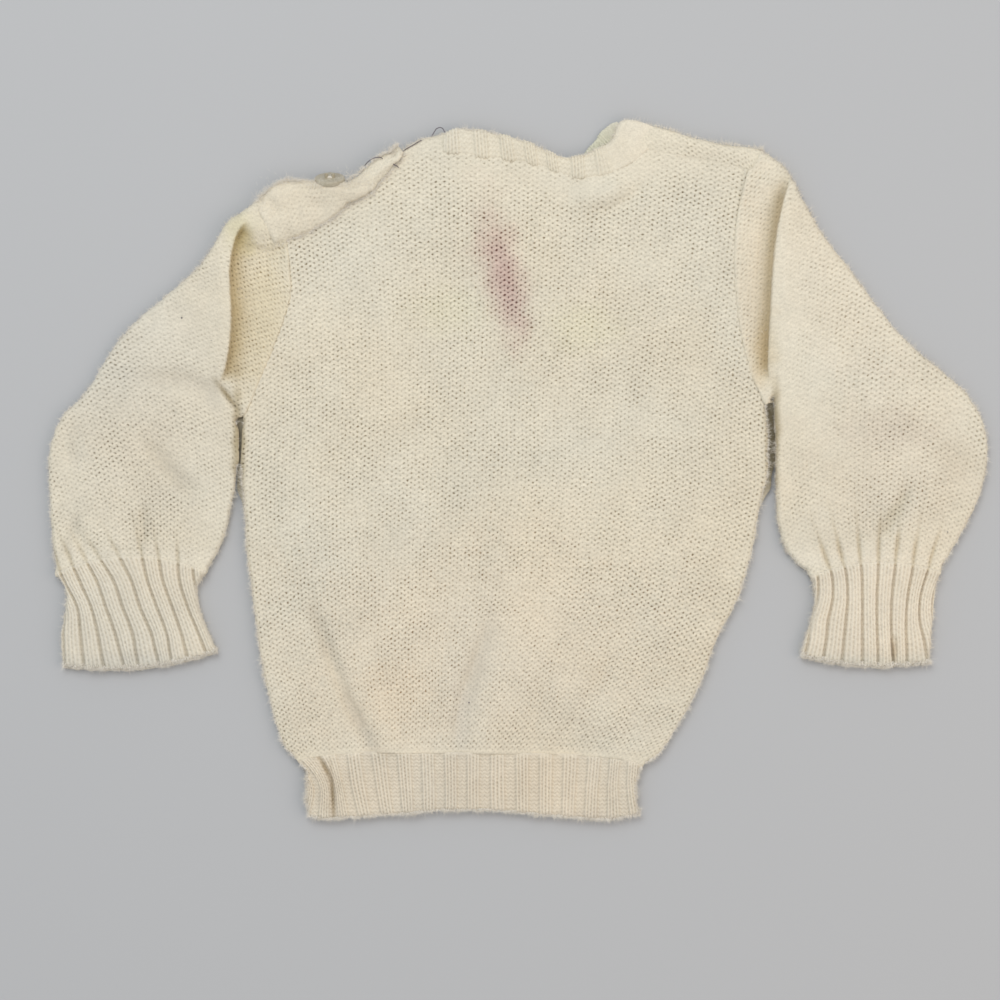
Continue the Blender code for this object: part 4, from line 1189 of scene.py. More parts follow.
addGutters(leftCuffNet, leftCreases, leftStainsAndShade, (7, 10, 8, 11, 13, 12, 10, 8), (0.70, 0.66, 0.58))
addGutters(rightCuffNet, rightCreases, rightStainsAndShade, (8, 12, 15, 13, 15, 12, 9), (0.72, 0.67, 0.58))
leftLip = {  # the crest down the armhole, its hollow towards the body
    "line": [(-135, 125), (-142.0, 117), (-145.2, 100), (-144.4, 79), (-145.5, 62), (-149.5, 42)],
    "rise": 1.3, "back": 7.0, "depth": 4.4, "width": 9.0, "dark": 7.5, "lean": 1.7, "fade": (0.08, 0.12)}
rightLip = {
    "line": [(126.0, 44), (126.6, 62.5), (127.8, 84.5), (128.8, 102.5), (130.8, 120), (134.5, 137),
             (137.5, 150)],
    "rise": 1.3, "back": 6.0, "depth": 4.4, "width": 7.5, "dark": 5.5, "lean": 1.7, "fade": (0.08, 0.16)}
leftSleeve = tubePiece(
    "left_sleeve", leftSleeveNet, {"back_panel": 2, "left_cuff": 1}, stocking(31, 0.24, 0.94, (-46, -26)),
    {"name": "leftSleeve", "across": 4, "up": 2, "creases": leftCreases, "stainsAndShade": leftStainsAndShade, "meet": 6.5,
     "lips": [leftLip], "paintedHollowShade": (0.72, 0.635, 0.47), "bridge": ((-141.0, 26.0), (-137.95, 27.5)),
     "pulls": [(-140, 15, 6, 13, -1.2, 0)],
     "matted": [(-138, 124, 20, 14, 20, 0.85), (-150, 70, 9, 60, 0, 0.6), (-172, 76, 24, 20, 0, 0.6),
                (-174, 0, 20, 6, -46, 0.6), (-170, 41, 26, 7, -14, 0.7), (-222, 0, 10, 50, 0, 0.4)]},
    creamWool)
rightSleeve = tubePiece(
    "right_sleeve", rightSleeveNet, {"back_panel": 2, "right_cuff": 1}, stocking(32, 0.2, 0.88, (-44, -14)),
    {"name": "rightSleeve", "across": 4, "up": 2, "creases": rightCreases, "stainsAndShade": rightStainsAndShade, "meet": 6.5,
     "lips": [rightLip], "paintedHollowShade": (0.70, 0.63, 0.51),
     "matted": [(131, 60, 11, 80, 0, 0.8), (117, 105, 12, 48, 4, 0.5), (150, 30, 16, 60, 0, 0.5),
                (165, 110, 50, 16, -40, 0.4), (219, 20, 12, 50, 0, 0.4)]},
    creamWool)
leftCuff = tubePiece(
    "left_cuff", leftCuffNet, {"left_sleeve": 1}, ribRelief(0.055, 1.0, 0.1, 41, 1, 0.2, 1.1, 0.36),
    {"name": "leftCuff", "across": 20, "up": 3, "openBelow": -88, "blend": 1.6, "scallop": 0.8, "peek": 1.2,
     "meet": 6.5, "stainsAndShade": [(-195, -97, 60, 5, 0, (0.93, 0.95, 0.98), 0.8)]}, ribWool)
rightCuff = tubePiece(
    "right_cuff", rightCuffNet, {"right_sleeve": 1}, ribRelief(0.05, 1.0, 0.1, 42, 1, 0.2, 1.1, 0.36),
    {"name": "rightCuff", "across": 20, "up": 3, "openBelow": -88, "blend": 1.6, "scallop": 0.8, "peek": 1.0,
     "meet": 6.5, "creases": [([(188.3, -96), (188.2, -90), (187.6, -82)], -2.6, 1.3, 1.5)],
     "stainsAndShade": [(180, -70, 60, 40, 0, (1.04, 1.025, 1.015), 1.0),
                (180, -97, 60, 5, 0, (0.90, 0.93, 0.96), 0.8),
                # painted shade in the crease at the cuff's open end
                (188.2, -92, 1.6, 6, 0, (0.76, 0.71, 0.64), 1.0)]}, ribWool)


def sweptBand(name, band, relief, material):
    # a narrow doubled band along a curve: flat underneath and rounded over its free edge
    rows = np.array(band["rows"], float)
    steps = np.linalg.norm(np.diff(rows[:, 0:2] + rows[:, 2:4], axis=0), axis=1) / 2
    knots = np.concatenate([[0], np.cumsum(steps)])
    count = int(knots[-1] / band["step"]) + 1
    rows = splineWeights(knots, np.linspace(0, knots[-1], count)) @ rows
    low, high, wale = rows[:, 0:2], rows[:, 2:4], rows[:, 4]
    lowTop, highTop, clear = rows[:, 5], rows[:, 6], np.clip(rows[:, 7], 0, 1)
    width = np.linalg.norm(high - low, axis=1)
    outward = (high - low) / width[:, None]
    under = band["under"]
    radius = (highTop - under) / 2
    brow = high - outward * radius[:, None]
    columns = [np.column_stack([low, np.full(count, under)])]
    for t in np.linspace(0, 1, band["across"]):
        bulge = band["puff"] * math.sin(math.pi * t)
        bulge = bulge - roundDrop(np.full(count, t) * width, 1.6, 1.0) * band["groove"] * clear
        columns.append(np.column_stack([low + (brow - low) * t, lowTop + (highTop - lowTop) * t + bulge]))
    for turn in np.linspace(math.pi / 2, -math.pi / 2, 9)[1:]:
        columns.append(np.column_stack([brow + outward * (radius * math.cos(turn))[:, None],
                                        under + radius + radius * math.sin(turn)]))
    skin = np.stack(columns, axis=1)
    across = skin.shape[1]
    length = np.concatenate([np.zeros((count, 1)),
                             np.cumsum(np.linalg.norm(np.diff(skin, axis=1), axis=2), axis=1)], axis=1)
    normal = np.cross(np.gradient(skin, axis=1), np.gradient(skin, axis=0))
    normal *= -1 / np.maximum(np.linalg.norm(normal, axis=2), 1e-9)[:, :, None]
    wales = np.repeat(wale[:, None], across, axis=1)
    stitchRow = length / cloth["rowHeight"]
    flat = skin[:, :, :2].reshape(-1, 2)
    height, pit = relief(wales.ravel(), stitchRow.ravel(), flat)
    place = np.arange(count) / (count - 1) * knots[-1]
    ends = smoothStep(0, 2.0, np.minimum(place, place[-1] - place))[:, None]
    seen = smoothStep(0.0, 1.8, length) * smoothStep(under + 0.2, under + 1.0, skin[:, :, 2])
    amount = height.reshape(count, across) * clear[:, None] * ends * seen
    amount += band["lumps"] * spreadNoise(skin[:, :, 0], skin[:, :, 1], 7.0, 91) * seen * ends
    amount += creaseHeight(flat, band["creases"]).reshape(count, across) * seen
    upright = normal * np.sign(normal[:, across // 2:across // 2 + 1, 2:3])
    skin = skin + upright * amount[:, :, None]
    skin[:, :, 2] = np.maximum(skin[:, :, 2], under)
    verts = skin.reshape(-1, 3)
    faces = []
    for i in range(count - 1):
        for j in range(across):
            k = (j + 1) % across
            faces.append([i * across + j, (i + 1) * across + j, (i + 1) * across + k, i * across + k])
    faces.append(list(range(across)))
    faces.append([(count - 1) * across + j for j in range(across - 1, -1, -1)])
    if np.cross(rows[1, 0:2] - rows[0, 0:2], outward[0]) < 0:
        faces = [face[::-1] for face in faces]
    if under > 1:
        along = (np.arange(count) < count - 1) * 1.0
        fuzzyEdges.append((high[::-1], along, float(highTop.mean()) - 1.2, 1.0))
    return clothObject(name, verts, faces, [True] * (len(faces) - 2) + [False] * 2,
                       np.column_stack([wales.ravel(), stitchRow.ravel()]),
                       pit * (clear[:, None] * seen * ends).ravel(), tintAt(verts[:, :2], band["stainsAndShade"]),
                       material)


neckband = {
    "step": 0.4, "across": 22, "under": 2.65, "puff": 0.5, "groove": 0.7, "lumps": 0.4,
    # lower edge x y, free edge x y, number of the gutter, heights of both edges, clearness of the ribs
    "rows": [
        (-37.5, 159.3, -37.0, 168.4, 0.18, 5.2, 5.6, 1), (-28.5, 158.1, -29.5, 170.8, 0.80, 5.2, 6.0, 1),
        (-19.5, 156.9, -20.5, 170.4, 1.38, 5.2, 6.0, 1), (-9.5, 155.6, -10.8, 168.4, 2.14, 5.2, 6.0, 1),
        (0.0, 154.4, -2.0, 166.3, 2.88, 5.2, 6.0, 1), (7.8, 152.6, 6.0, 163.8, 3.54, 5.2, 5.9, 1),
        (14.8, 150.4, 13.5, 160.4, 4.22, 5.2, 5.8, 1), (20.4, 148.4, 19.0, 157.6, 4.74, 5.2, 5.7, 1),
        (25.8, 147.0, 25.0, 156.6, 5.14, 5.2, 5.7, 1), (31.5, 146.2, 31.0, 157.4, 5.6, 5.2, 5.8, 1),
        (37.5, 146.4, 36.0, 159.4, 6.08, 5.2, 6.0, 0.9), (44.0, 148.0, 41.0, 161.2, 6.5, 5.2, 6.3, 0.6),
        (51.0, 150.8, 45.0, 163.4, 7.0, 5.2, 6.8, 0.25), (58.0, 154.6, 48.0, 166.8, 7.5, 5.2, 7.3, 0.2),
        (64.0, 159.4, 49.0, 170.6, 8.0, 5.2, 7.4, 0.15), (67.0, 163.6, 50.4, 173.6, 8.3, 5.3, 7.2, 0.15),
        (68.6, 167.0, 53.4, 175.2, 8.6, 5.4, 7.0, 0.15), (69.0, 169.6, 57.4, 175.2, 8.9, 5.5, 6.8, 0.15),
        (68.0, 171.6, 61.4, 174.2, 9.2, 5.5, 6.4, 0.15)],
    "creases": [([(38, 158), (44, 156), (50, 159)], 0.5, 3, 3)],
    "stainsAndShade": [(15, 158, 60, 25, 0, (1.0, 0.99, 0.955), 1.0)]}
backNeckband = sweptBand(
    "backNeckband", neckband, ribRelief(0.24, 0.1, 0.3, 51, 3, 0.3, 0.25, 0.0, 0.5), ribWool)
frontBand = {
    "step": 0.45, "across": 14, "under": 0.03, "puff": 0.2, "groove": 0.5, "lumps": 0.1,
    "rows": [(*edges, gutter, 2.3, 2.4, clear) for gutter, (*edges, clear) in enumerate((
        (-35.5, 159.0, -29.0, 165.5, 1), (-33.0, 148.0, -24.5, 153.5, 1), (-25.0, 137.3, -18.5, 145.5, 1),
        (-13.0, 130.9, -9.5, 140.0, 1), (2.0, 128.9, 2.5, 138.0, 1), (17.0, 130.9, 13.5, 140.0, 1),
        (31.0, 136.9, 24.0, 145.5, 1), (42.0, 145.3, 31.5, 156.0, 1), (51.0, 152.2, 38.5, 165.2, 1),
        (58.0, 158.4, 44.5, 172.2, 0.7), (64.0, 163.0, 49.5, 175.0, 0.5)))],
    "creases": [], "stainsAndShade": [(38, 164, 16, 14, 0, (0.90, 0.95, 0.90), 1.0)]}
frontNeckband = sweptBand(
    "frontNeckband", frontBand, ribRelief(0.24, 0.05, 0.1, 52, 3, 0.4, 0.2, 0.0), ribWool)
buttonBand = panelPiece(
    "button_band", bodyNet(), {"back_panel": 1, "back_neckband": 1}, stocking(53, 0.0, 0.3),
    {"name": "buttonBand", "across": 4, "up": 2, "inner": 2.65, "rim": {"radius": 1.4, "depth": 1.6}},
    creamWool)
flap = {
    "step": 0.95,
    "wall": 2.2,         # thickness of the cloth
    "turn": 4.2,         # radius of the turn seen from above
    "turnSteps": 12,
    "topSteps": 16,
    "puff": 1.5,         # how far it bulges between turn and edge
    "lumps": 1.3,
    "bulges": 0.9,       # how far its two edges wander
    "edgeRadius": 3.2, "edgeDrop": 1.6, "endDrop": 0.4,
    "fluffy": 0.5, "fluff": 2.2,
    # outline x y, free edge x y, edge underneath x y, height of the turn and of the free edge's underside,
    # clearness
    "rows": [
        (-131.5, 133.0, -121.5, 112.0, -124.2, 122.0, 9.4, 5.2, 0.2),
        (-125.5, 138.8, -115.5, 114.3, -119.2, 125.8, 10.0, 4.8, 0.35),
        (-118.5, 143.4, -108.5, 117.0, -114.2, 127.4, 10.4, 4.7, 0.6),
        (-109.5, 145.0, -100.5, 121.0, -107.2, 129.6, 10.4, 4.6, 0.9),
        (-101.5, 144.0, -91.5, 126.5, -99.9, 130.5, 10.4, 4.5, 0.9),
        (-93.6, 143.4, -85.0, 132.5, -92.9, 132.3, 10.2, 4.5, 0.6),
        (-86.0, 143.8, -77.5, 135.5, -86.1, 135.1, 9.8, 4.4, 0.35),
        (-80.5, 147.5, -72.5, 139.0, -79.7, 138.7, 9.2, 4.2, 0.3),
        (-75.0, 152.5, -68.5, 144.0, -73.5, 142.7, 8.6, 4.1, 0.3),
        (-69.5, 155.8, -64.5, 148.5, -67.7, 147.3, 7.6, 3.8, 0.3),
        (-64.0, 159.6, -60.0, 153.5, -61.5, 152.0, 6.4, 3.3, 0.3),
        (-59.5, 162.2, -56.5, 158.0, -58.0, 157.0, 5.4, 2.9, 0.3)],
    "creases": [([(-127, 136), (-122, 131), (-119, 124)], -2.0, 2.5, 3.5),
                ([(-113, 139), (-104, 133), (-97, 129)], -1.0, 4, 5),
                ([(-116, 122), (-106, 124), (-96, 130)], 0.9, 4, 5),
                ([(-103, 143), (-94, 141), (-85, 143)], 2.2, 2.5, 3.0),
                ([(-84, 144), (-78, 141), (-72, 143)], -1.2, 2, 2.5)],
    "stainsAndShade": [(-105, 132, 30, 20, 0, (0.985, 0.966, 0.95), 0.9)]}
leftShoulderFlap = foldedBand("leftShoulderFlap", flap, stocking(61, 0.1, 0.75), creamWool)
turnedShoulder = {
    "step": 0.95, "wall": 2.2, "turn": 3.2, "turnSteps": 10, "topSteps": 14, "puff": 0.3, "lumps": 0.25,
    "bulges": 0.25,
    "edgeRadius": 1.4, "edgeDrop": 0.25, "endDrop": 0.5, "fluffy": 0.5, "fluff": 1.0,
    "rows": [(x, y, *edge, *edge, height, 2.9, clear) for x, y, edge, height, clear in (
        (60.5, 172.6, (61.5, 160.2), 6.3, 0.2), (66.0, 172.8, (67.0, 159.4), 6.6, 0.3),
        (77.0, 170.0, (79.0, 157.2), 6.6, 0.7), (90.0, 166.0, (92.0, 155.2), 6.4, 0.8),
        (103.0, 163.2, (105.0, 152.7), 6.4, 0.8), (114.0, 162.0, (115.0, 149.6), 6.4, 0.7),
        (122.5, 160.6, (119.5, 146.7), 6.2, 0.5))],
    "creases": [], "stainsAndShade": []}
rightShoulder = foldedBand("rightShoulder", turnedShoulder, stocking(62, 0.2, 0.9), creamWool)


def plainMaterial(name, colours, scale, bumpDepth, roughness, sheen=0.0):  # two colours clouded together
    made, tree, shader = newMaterial(name, {"Roughness": roughness, "Sheen Weight": sheen})
    cloud = noise(tree, tree.nodes.new("ShaderNodeTexCoord").outputs["Object"], scale, 3.0)
    wired(tree, shader, {"Base Color": clouded(tree, cloud, (0.35, 0.65), colours),
                         "Normal": bumped(tree, cloud, 0.4, bumpDepth)})
    return made


buttonPlastic = plainMaterial("buttonPlastic", ((0.40, 0.35, 0.25), (0.50, 0.45, 0.34)), 260.0, 0.03, 0.32)
darkThread = plainMaterial("darkThread", ((0.075, 0.06, 0.07), (0.17, 0.14, 0.16)), 900.0, 0.1, 0.9)
looseWool = plainMaterial("looseWool", ((0.78, 0.725, 0.63), (0.86, 0.81, 0.72)), 500.0, 0.1, 0.95, 0.3)
button = {
    "place": (-94.0, 145.05, 7.6), "tilt": -62.0,
    "radius": 7.5, "thickness": 2.2, "rim": 1.1, "dish": 0.55, "edge": 0.5,
    "slope": 0.7,            # width of the slope from rim to dish
    "holeRadius": 0.9, "holeOffset": 1.7, "threadWidth": 0.85}


def selectOnly(*pieces):
    bpy.ops.object.select_all(action="DESELECT")
    for piece in pieces:
        piece.select_set(True)
    bpy.context.view_layer.objects.active = pieces[0]


def selectFaces(test):  # selects the faces of the object in edit mode that pass
    bpy.ops.mesh.select_all(action="DESELECT")
    work = bmesh.from_edit_mesh(bpy.context.edit_object.data)
    for face in work.faces:
        face.select = test(face)
    work.select_flush_mode()
    bmesh.update_edit_mesh(bpy.context.edit_object.data)


def madeOf(piece, name, material):  # named, with one material only
    piece.name = piece.data.name = name
    piece.data.materials.clear()
    piece.data.materials.append(material)
    return piece


def makeButton():
    bpy.ops.object.select_all(action="DESELECT")
    bpy.ops.mesh.primitive_cylinder_add(
        vertices=64, radius=button["radius"] * mm, depth=button["thickness"] * mm)
    disc = bpy.context.object
    bpy.ops.object.mode_set(mode="EDIT")
    selectFaces(lambda face: abs(face.normal.z) > 0.9)
    bpy.ops.mesh.bevel(offset=button["edge"] * mm, segments=4, affect="EDGES")
    selectFaces(lambda face: face.normal.z > 0.9 and len(face.verts) > 8)
    bpy.ops.mesh.inset(thickness=button["rim"] * mm, depth=0)
    bpy.ops.mesh.inset(thickness=button["slope"] * mm, depth=-button["dish"] * mm)
    bpy.ops.mesh.inset(thickness=0.3 * mm, depth=-0.05 * mm)
    bpy.ops.object.mode_set(mode="OBJECT")
    for side in (-1, 1):
        bpy.ops.object.select_all(action="DESELECT")
        bpy.ops.mesh.primitive_cylinder_add(
            vertices=20, radius=button["holeRadius"] * mm, depth=3 * button["thickness"] * mm,
            location=(side * button["holeOffset"] * mm, 0, 0))
        drill = bpy.context.object
        selectOnly(disc)
        cut = disc.modifiers.new("hole", "BOOLEAN")
        cut.object = drill
        cut.solver = "EXACT"
        bpy.ops.object.modifier_apply(modifier="hole")
        bpy.data.objects.remove(drill, do_unlink=True)
    bpy.ops.object.shade_smooth_by_angle(angle=math.radians(40))
    return madeOf(disc, "shoulderButton", buttonPlastic)


def yarn(name, line, width, sides, material):  # a round closed thread along a few points
    curveData = bpy.data.curves.new(name, "CURVE")
    curveData.dimensions = "3D"
    curveData.bevel_depth = width / 2 * mm
    curveData.bevel_resolution = sides
    curveData.use_fill_caps = True
    spline = curveData.splines.new("BEZIER")
    spline.bezier_points.add(len(line) - 1)
    for point, place in zip(spline.bezier_points, line):
        point.co = Vector(place) * mm
        point.handle_left_type = point.handle_right_type = "AUTO"
    spline.resolution_u = 6
    made = bpy.data.objects.new(name, curveData)
    bpy.context.scene.collection.objects.link(made)
    selectOnly(made)
    bpy.ops.object.convert(target="MESH")
    return madeOf(bpy.context.object, name, material)


def joinPieces(name, pieces):
    selectOnly(*pieces)
    bpy.ops.object.join()
    pieces[0].name = pieces[0].data.name = name
    return pieces[0]


def settled(piece, place, tilt):  # turned and moved, with its place kept in its mesh
    piece.rotation_euler = (math.radians(tilt), 0, 0)
    piece.location = Vector(place) * mm
    selectOnly(piece)
    bpy.ops.object.transform_apply(location=True, rotation=True, scale=True)
    return piece


shoulderButton = settled(makeButton(), button["place"], button["tilt"])
dishTop = button["thickness"] / 2 - button["dish"]
hole = button["holeOffset"]
behind, bridge = -1.6, dishTop + 0.55  # where the thread ends, and where it crosses over the dish
buttonThread = joinPieces("buttonThread", [
    yarn("strand", [(-hole, side, behind), (-hole, side, dishTop), (-hole * 0.75, side, bridge),
                    (hole * 0.75, side, bridge), (hole, side, dishTop), (hole, side, behind)],
         button["threadWidth"], 3, looseWool) for side in (-0.3, 0.35)])
settled(buttonThread, button["place"], button["tilt"])
print("button sewn on")
mendingLines = [  # dark thread ends and stitches left by the mend on the left shoulder
    [(-76.6, 152.0, 7.5), (-74.8, 153.8, 8.8), (-71.5, 155.7, 9.0), (-68.6, 156.0, 8.2), (-67.4, 155.2, 6.4)],
    [(-59.5, 158.0, 4.0), (-57.0, 160.0, 5.4), (-52.5, 162.6, 5.6), (-48.6, 164.9, 5.2), (-47.6, 165.2, 3.4)],
    [(-43.4, 166.6, 4.2), (-42.0, 169.0, 5.4), (-40.6, 170.8, 5.8), (-38.2, 171.2, 5.6), (-36.6, 169.0, 5.6)],
    [(-63.4, 153.4, 6.2), (-62.0, 152.6, 7.6), (-60.4, 151.8, 7.2), (-59.8, 151.4, 5.2)]]
mendingWidth = 0.42
mendingThread = joinPieces(
    "mendingThread", [yarn("strand", line, mendingWidth, 2, darkThread) for line in mendingLines])


specks = {  # plant bits and dirt caught in the wool: place and size
    "places": [(62, 93.5), (-24.5, -116.5), (-168, 76), (-153, 64.5), (-163.5, -34.5), (115.5, -46),
               (215, -31)],
    "radius": 0.32}


def speckPieces():
    shade = np.random.default_rng(75)
    bits = []
    for x, y in specks["places"]:
        top = 0
        for piece in (backPanel, leftSleeve, rightSleeve):
            found, spot = piece.ray_cast((x * mm, y * mm, 0.1), (0, 0, -1))[:2]
            top = max(top, spot[2] / mm) if found else top
        bpy.ops.object.select_all(action="DESELECT")
        bpy.ops.mesh.primitive_ico_sphere_add(
            subdivisions=2, radius=specks["radius"] * mm * shade.uniform(0.7, 1.3),
            location=(x * mm, y * mm, (top + 0.15) * mm), scale=(1.0, shade.uniform(0.5, 1.2), 0.5),
            rotation=(0, 0, shade.uniform(0, 3.1)))
        bpy.ops.object.transform_apply(location=True, rotation=True, scale=True)
        bits.append(bpy.context.object)
        bits[-1].data.materials.append(darkThread)
    return joinPieces("caughtSpecks", bits)


def unit(ways):  # directions brought to length 1
    return ways / np.linalg.norm(ways, axis=1)[:, None]


def fibreMesh(name, groups, seed):
    # loose fibres: long ones are thin tubes that bend once and end in a point, short ones plain spikes
    shade = np.random.default_rng(seed)
    verts, faces = [], []
    base = 0
    for roots, ways, lengths, radius, bent in groups:
        ways = unit(ways)
        turned = unit(ways + shade.normal(0, 0.55, ways.shape))
        side = unit(np.cross(ways, (0.31, 0.17, 0.93)))
        other = np.cross(ways, side)
        elbow = roots + ways * lengths[:, None] * 0.5
        rings = []
        for points, width in ((roots, radius), (elbow, radius * 0.85))[:1 + bent]:
            for k in range(3):
                angle = 2 * math.pi * k / 3
                rings.append(points + width * (math.cos(angle) * side + math.sin(angle) * other))
        rings.append(elbow + turned * lengths[:, None] * 0.5)
        spots = np.stack(rings, axis=1)
        spots[:, :, 2] = np.maximum(spots[:, :, 2], cloth["lowest"])
        last = 3 * bent
        pattern = [[last + k, last + (k + 1) % 3, last + 3] for k in range(3)] + [[2, 1, 0]]
        pattern += [[k, (k + 1) % 3, 3 + (k + 1) % 3, 3 + k] for k in range(3)] * bent
        starts = base + spots.shape[1] * np.arange(len(roots))
        for corners in pattern:
            faces += (np.array(corners) + starts[:, None]).tolist()
        verts.append(spots.reshape(-1, 3))
        base += len(verts[-1])
        print(name, len(roots), "bent fibres" if bent else "short fibres")
    mesh = bpy.data.meshes.new(name)
    mesh.from_pydata((np.vstack(verts) * mm).tolist(), [], faces)
    made = bpy.data.objects.new(name, mesh)
    bpy.context.scene.collection.objects.link(made)
    return madeOf(made, name, looseWool)


fuzz = {
    "perMm": 1.7,        # long fibres for each millimetre of free edge
    "length": (1.2, 3.8),
    "radius": 0.06,
    "downPerMm": 11.0,   # short ones
    "downLength": (0.5, 2.0),
    "downRadius": 0.125,
    "endPerMm": 10.0,    # matted fluff at the open cuffs, and how deep it starts inside the edge
    "endLength": (0.8, 2.2),
    "endRadius": 0.15,
    "endDepth": (-0.7, 2.2),
    "nap": 6000,         # fibres lying on the upper faces
    "napLength": (1.0, 3.2),
    "napRadius": 0.05,
    # wool pulled out in tufts: place, spread, number of fibres, and the way they point
    "tufts": [
        ((-62.3, 158.4, 5.6), (1.9, 1.7, 0.8), 420, (-0.3, 0.5, 0.3)),
        ((-94, 141.6, 12.2), (5.5, 0.9, 0.7), 260, (0.0, 0.9, 0.8)),
        ((-128, 135.3, 7.5), (1.6, 1.3, 1.0), 200, (-0.6, 0.6, 0.3)),
        ((-123.5, 139.2, 8.5), (1.7, 1.1, 1.0), 240, (-0.4, 0.8, 0.3)),
        ((-118.5, 142.4, 8.8), (1.8, 0.9, 1.0), 220, (-0.2, 0.8, 0.3)),
        ((-110, 143.6, 8.8), (2.5, 0.8, 1.0), 240, (0, 0.9, 0.2)),
        ((-102, 142.8, 9.0), (2.5, 0.8, 1.0), 220, (0.2, 0.9, 0.2)),
        ((-82, 144, 9.0), (5, 2.5, 0.5), 250, (0, 0.5, 0.5)),
        ((-126, 126, 8.6), (3, 9, 0.6), 350, (-0.3, 0.3, 0.5)),
        ((-94, 140.4, 11.4), (5.0, 1.2, 0.5), 250, (0, 0.8, 0.3))]}


def edgeFibres(seed, perMm, lengths, radius, bent, least=0, depth=(0.1, 1.3)):
    shade = np.random.default_rng(seed)
    roots, ways, wisps = [], [], []
    for outline, density, height, spread in fuzzyEdges:
        for k in np.flatnonzero(density > least):
            a, b = outline[k], outline[(k + 1) % len(outline)]
            length = np.linalg.norm(b - a)
            patchy = 1 + 0.5 * spreadNoise(a[0], a[1], 5.0, 74)
            count = shade.poisson(length * perMm * density[k] * patchy)
            outward = np.array([b[1] - a[1], a[0] - b[0]]) / max(length, 1e-9)
            within = shade.uniform(*depth, (count, 1))
            spots = a + shade.uniform(0, 1, (count, 1)) * (b - a) - outward * within
            z = shade.normal(height, spread, count) - 0.5 + 0.6 * within[:, 0]
            roots.append(np.column_stack([spots, np.clip(z, 0.2, None)]))
            tangle = spreadNoise(*spots.T, 1.6, 81)[:, None]  # the fibres lean together in wisps
            way = np.column_stack([outward + tangle * (b - a) / max(length, 1e-9), 0.35 + 0 * tangle])
            ways.append(way + shade.normal(0, 0.4, way.shape))
            wisps.append(1 + 0.55 * spreadNoise(*spots.T, 2.6, 82) + 0.3 * within[:, 0])
    roots = np.vstack(roots)
    return roots, np.vstack(ways), shade.uniform(*lengths, len(roots)) * np.concatenate(wisps), radius, bent


def tuftFibres():
    shade = np.random.default_rng(76)
    roots, ways = [], []
    for place, spread, count, lead in fuzz["tufts"]:
        roots.append(np.array(place) + shade.normal(0, 1, (count, 3)) * spread)
        ways.append(shade.normal(0, 1, (count, 3)) * (1, 1, 0.6) + lead)
    roots = np.vstack(roots)
    lengths = shade.uniform(*fuzz["napLength"], len(roots))
    return roots, np.vstack(ways), lengths, fuzz["napRadius"], 1


def napFibres(pieces):
    shade = np.random.default_rng(72)
    upper = []  # centre, normal and area of each face that looks up
    for piece in pieces:
        faces = piece.data.polygons
        values = [np.zeros(len(faces) * size, np.float32) for size in (3, 3, 1)]
        for key, value in zip(("center", "normal", "area"), values):
            faces.foreach_get(key, value)
        centre, normal, area = values[0].reshape(-1, 3) / mm, values[1].reshape(-1, 3), values[2]
        up = (normal[:, 2] > 0.3) & (centre[:, 2] > 4.4)
        upper.append((centre[up], normal[up], area[up]))
    centres, normals, areas = [np.concatenate(parts) for parts in zip(*upper)]
    chosen = shade.choice(len(centres), fuzz["nap"], p=areas / areas.sum())
    ways = shade.normal(0, 1, (len(chosen), 3)) * (1, 1, 0.35) + normals[chosen] * 0.45
    lengths = shade.uniform(*fuzz["napLength"], len(chosen))
    return centres[chosen] - normals[chosen] * 0.05, ways, lengths, fuzz["napRadius"], 1


caughtSpecks = speckPieces()
edgeFuzz = fibreMesh(
    "edgeFuzz", [edgeFibres(70, fuzz["perMm"], fuzz["length"], fuzz["radius"], 1),
                 edgeFibres(77, fuzz["downPerMm"], fuzz["downLength"], fuzz["downRadius"], 0)], 71)
napFuzz = fibreMesh(
    "napFuzz", [napFibres([backPanel, backHem, leftSleeve, rightSleeve, leftCuff, rightCuff,
                           backNeckband, leftShoulderFlap, rightShoulder, buttonBand]), tuftFibres()], 73)
cuffFluff = fibreMesh(
    "cuffFluff", [edgeFibres(78, fuzz["endPerMm"], fuzz["endLength"], fuzz["endRadius"], 0, 3,
                             fuzz["endDepth"])], 79)
for piece in (edgeFuzz, napFuzz, cuffFluff, mendingThread, buttonThread, caughtSpecks):
    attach(piece, "root")

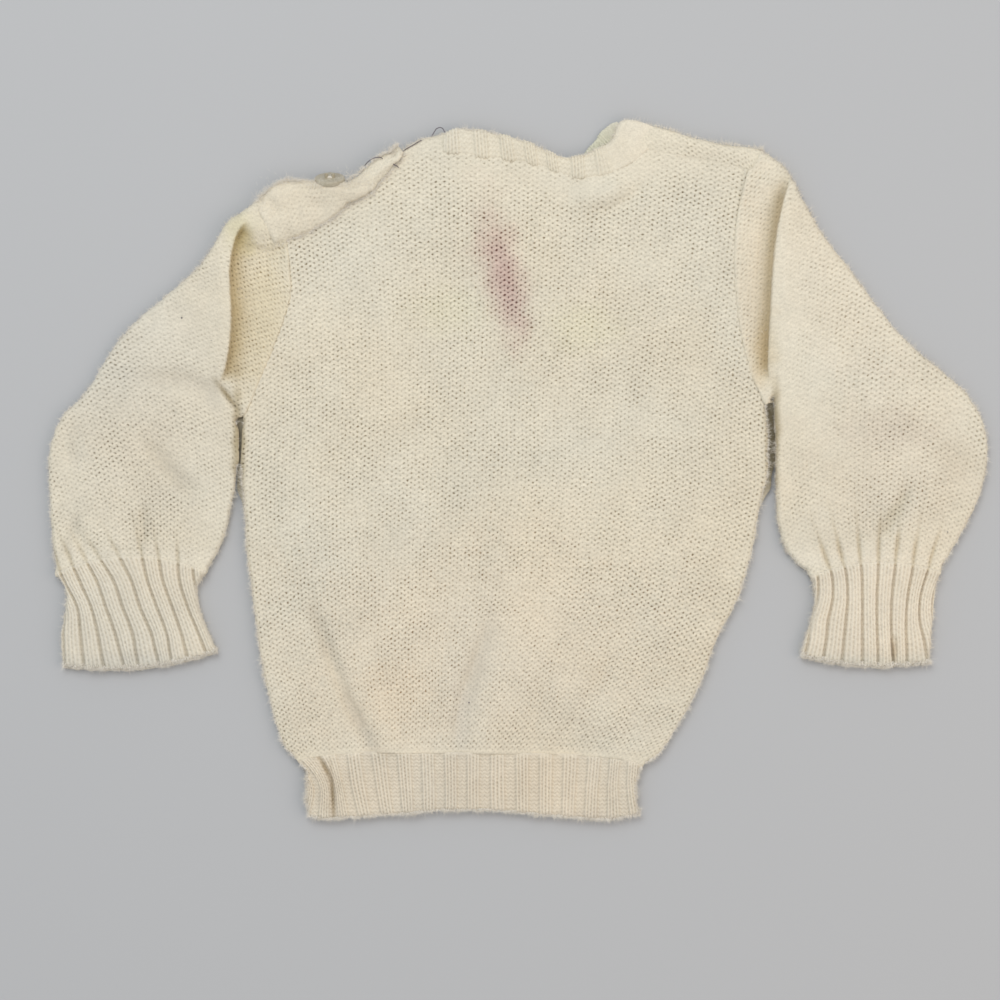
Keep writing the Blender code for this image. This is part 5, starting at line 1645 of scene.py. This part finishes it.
for piece, node, slot in (
        (backPanel, "back_panel", "cream_wool"), (frontPanel, "front_panel", "cream_wool"),
        (backHem, "back_hem_rib", "cream_rib"), (frontHem, "front_hem_rib", "cream_rib"),
        (leftSleeve, "left_sleeve", "cream_wool"), (rightSleeve, "right_sleeve", "cream_wool"),
        (leftCuff, "left_cuff", "cream_rib"), (rightCuff, "right_cuff", "cream_rib"),
        (backNeckband, "back_neckband", "cream_rib"), (frontNeckband, "front_neckband", "cream_rib"),
        (buttonBand, "button_band", "cream_rib"), (leftShoulderFlap, "buttonhole_band", "cream_wool"),
        (rightShoulder, "front_right_shoulder", "cream_wool"),
        (shoulderButton, "shoulder_button", "button_plastic")):
    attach(piece, "root")
    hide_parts(node)

studio = {  # places in metres, powers in watts
    "lamp": (-0.3, 0.85, 1.6),
    "lampSize": 1.2,
    "lampPower": 13.4,
    "lampColour": (0.95, 0.98, 1.0),
    "fill": (1.15, -0.35, 1.2),
    "fillSize": 1.4,
    "fillPower": 6.0,
    "fillColour": (1.0, 0.80, 0.62),
    "sky": (0.93, 0.96, 1.0),
    "skyStrength": 0.65,
    "floorSize": 4.0,
    "floorColour": (0.472, 0.474, 0.476),
    "lens": 85,
    "cameraPlace": (-0.009, -0.015, 1.187)}

bpy.ops.object.select_all(action="DESELECT")
bpy.ops.mesh.primitive_plane_add(size=studio["floorSize"], location=(0, 0, -0.3 * mm))
floor = bpy.context.object
floor.name = "paleTable"
bpy.ops.object.transform_apply(location=True)
floor.data.materials.append(
    newMaterial("palePaint", {"Base Color": (*studio["floorColour"], 1), "Roughness": 0.7})[0])
floor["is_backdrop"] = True

for name in ("lamp", "fill"):
    lightData = bpy.data.lights.new(name, "AREA")
    lightData.shape = "DISK"
    lightData.size = studio[name + "Size"]
    lightData.energy = studio[name + "Power"]
    lightData.color = studio[name + "Colour"]
    light = bpy.data.objects.new(name, lightData)
    light.location = studio[name]
    light.rotation_euler = Vector(studio[name]).to_track_quat("Z", "Y").to_euler()
    bpy.context.scene.collection.objects.link(light)
world = bpy.data.worlds.new("studioSky")
bpy.context.scene.world = world
world.use_nodes = True
wired(world.node_tree, world.node_tree.nodes["Background"],
      {"Color": (*studio["sky"], 1), "Strength": studio["skyStrength"]})
bpy.context.scene.view_settings.view_transform = "Standard"

cameraData = bpy.data.cameras.new("overhead")
cameraData.lens = studio["lens"]
cameraData.sensor_width = 36
camera = bpy.data.objects.new("overhead", cameraData)
camera.location = studio["cameraPlace"]
bpy.context.scene.collection.objects.link(camera)
bpy.context.scene.camera = camera
print("studio set")

triangles = sum(len(face.vertices) - 2 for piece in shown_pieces() for face in piece.data.polygons)
print(triangles, "triangles in all")
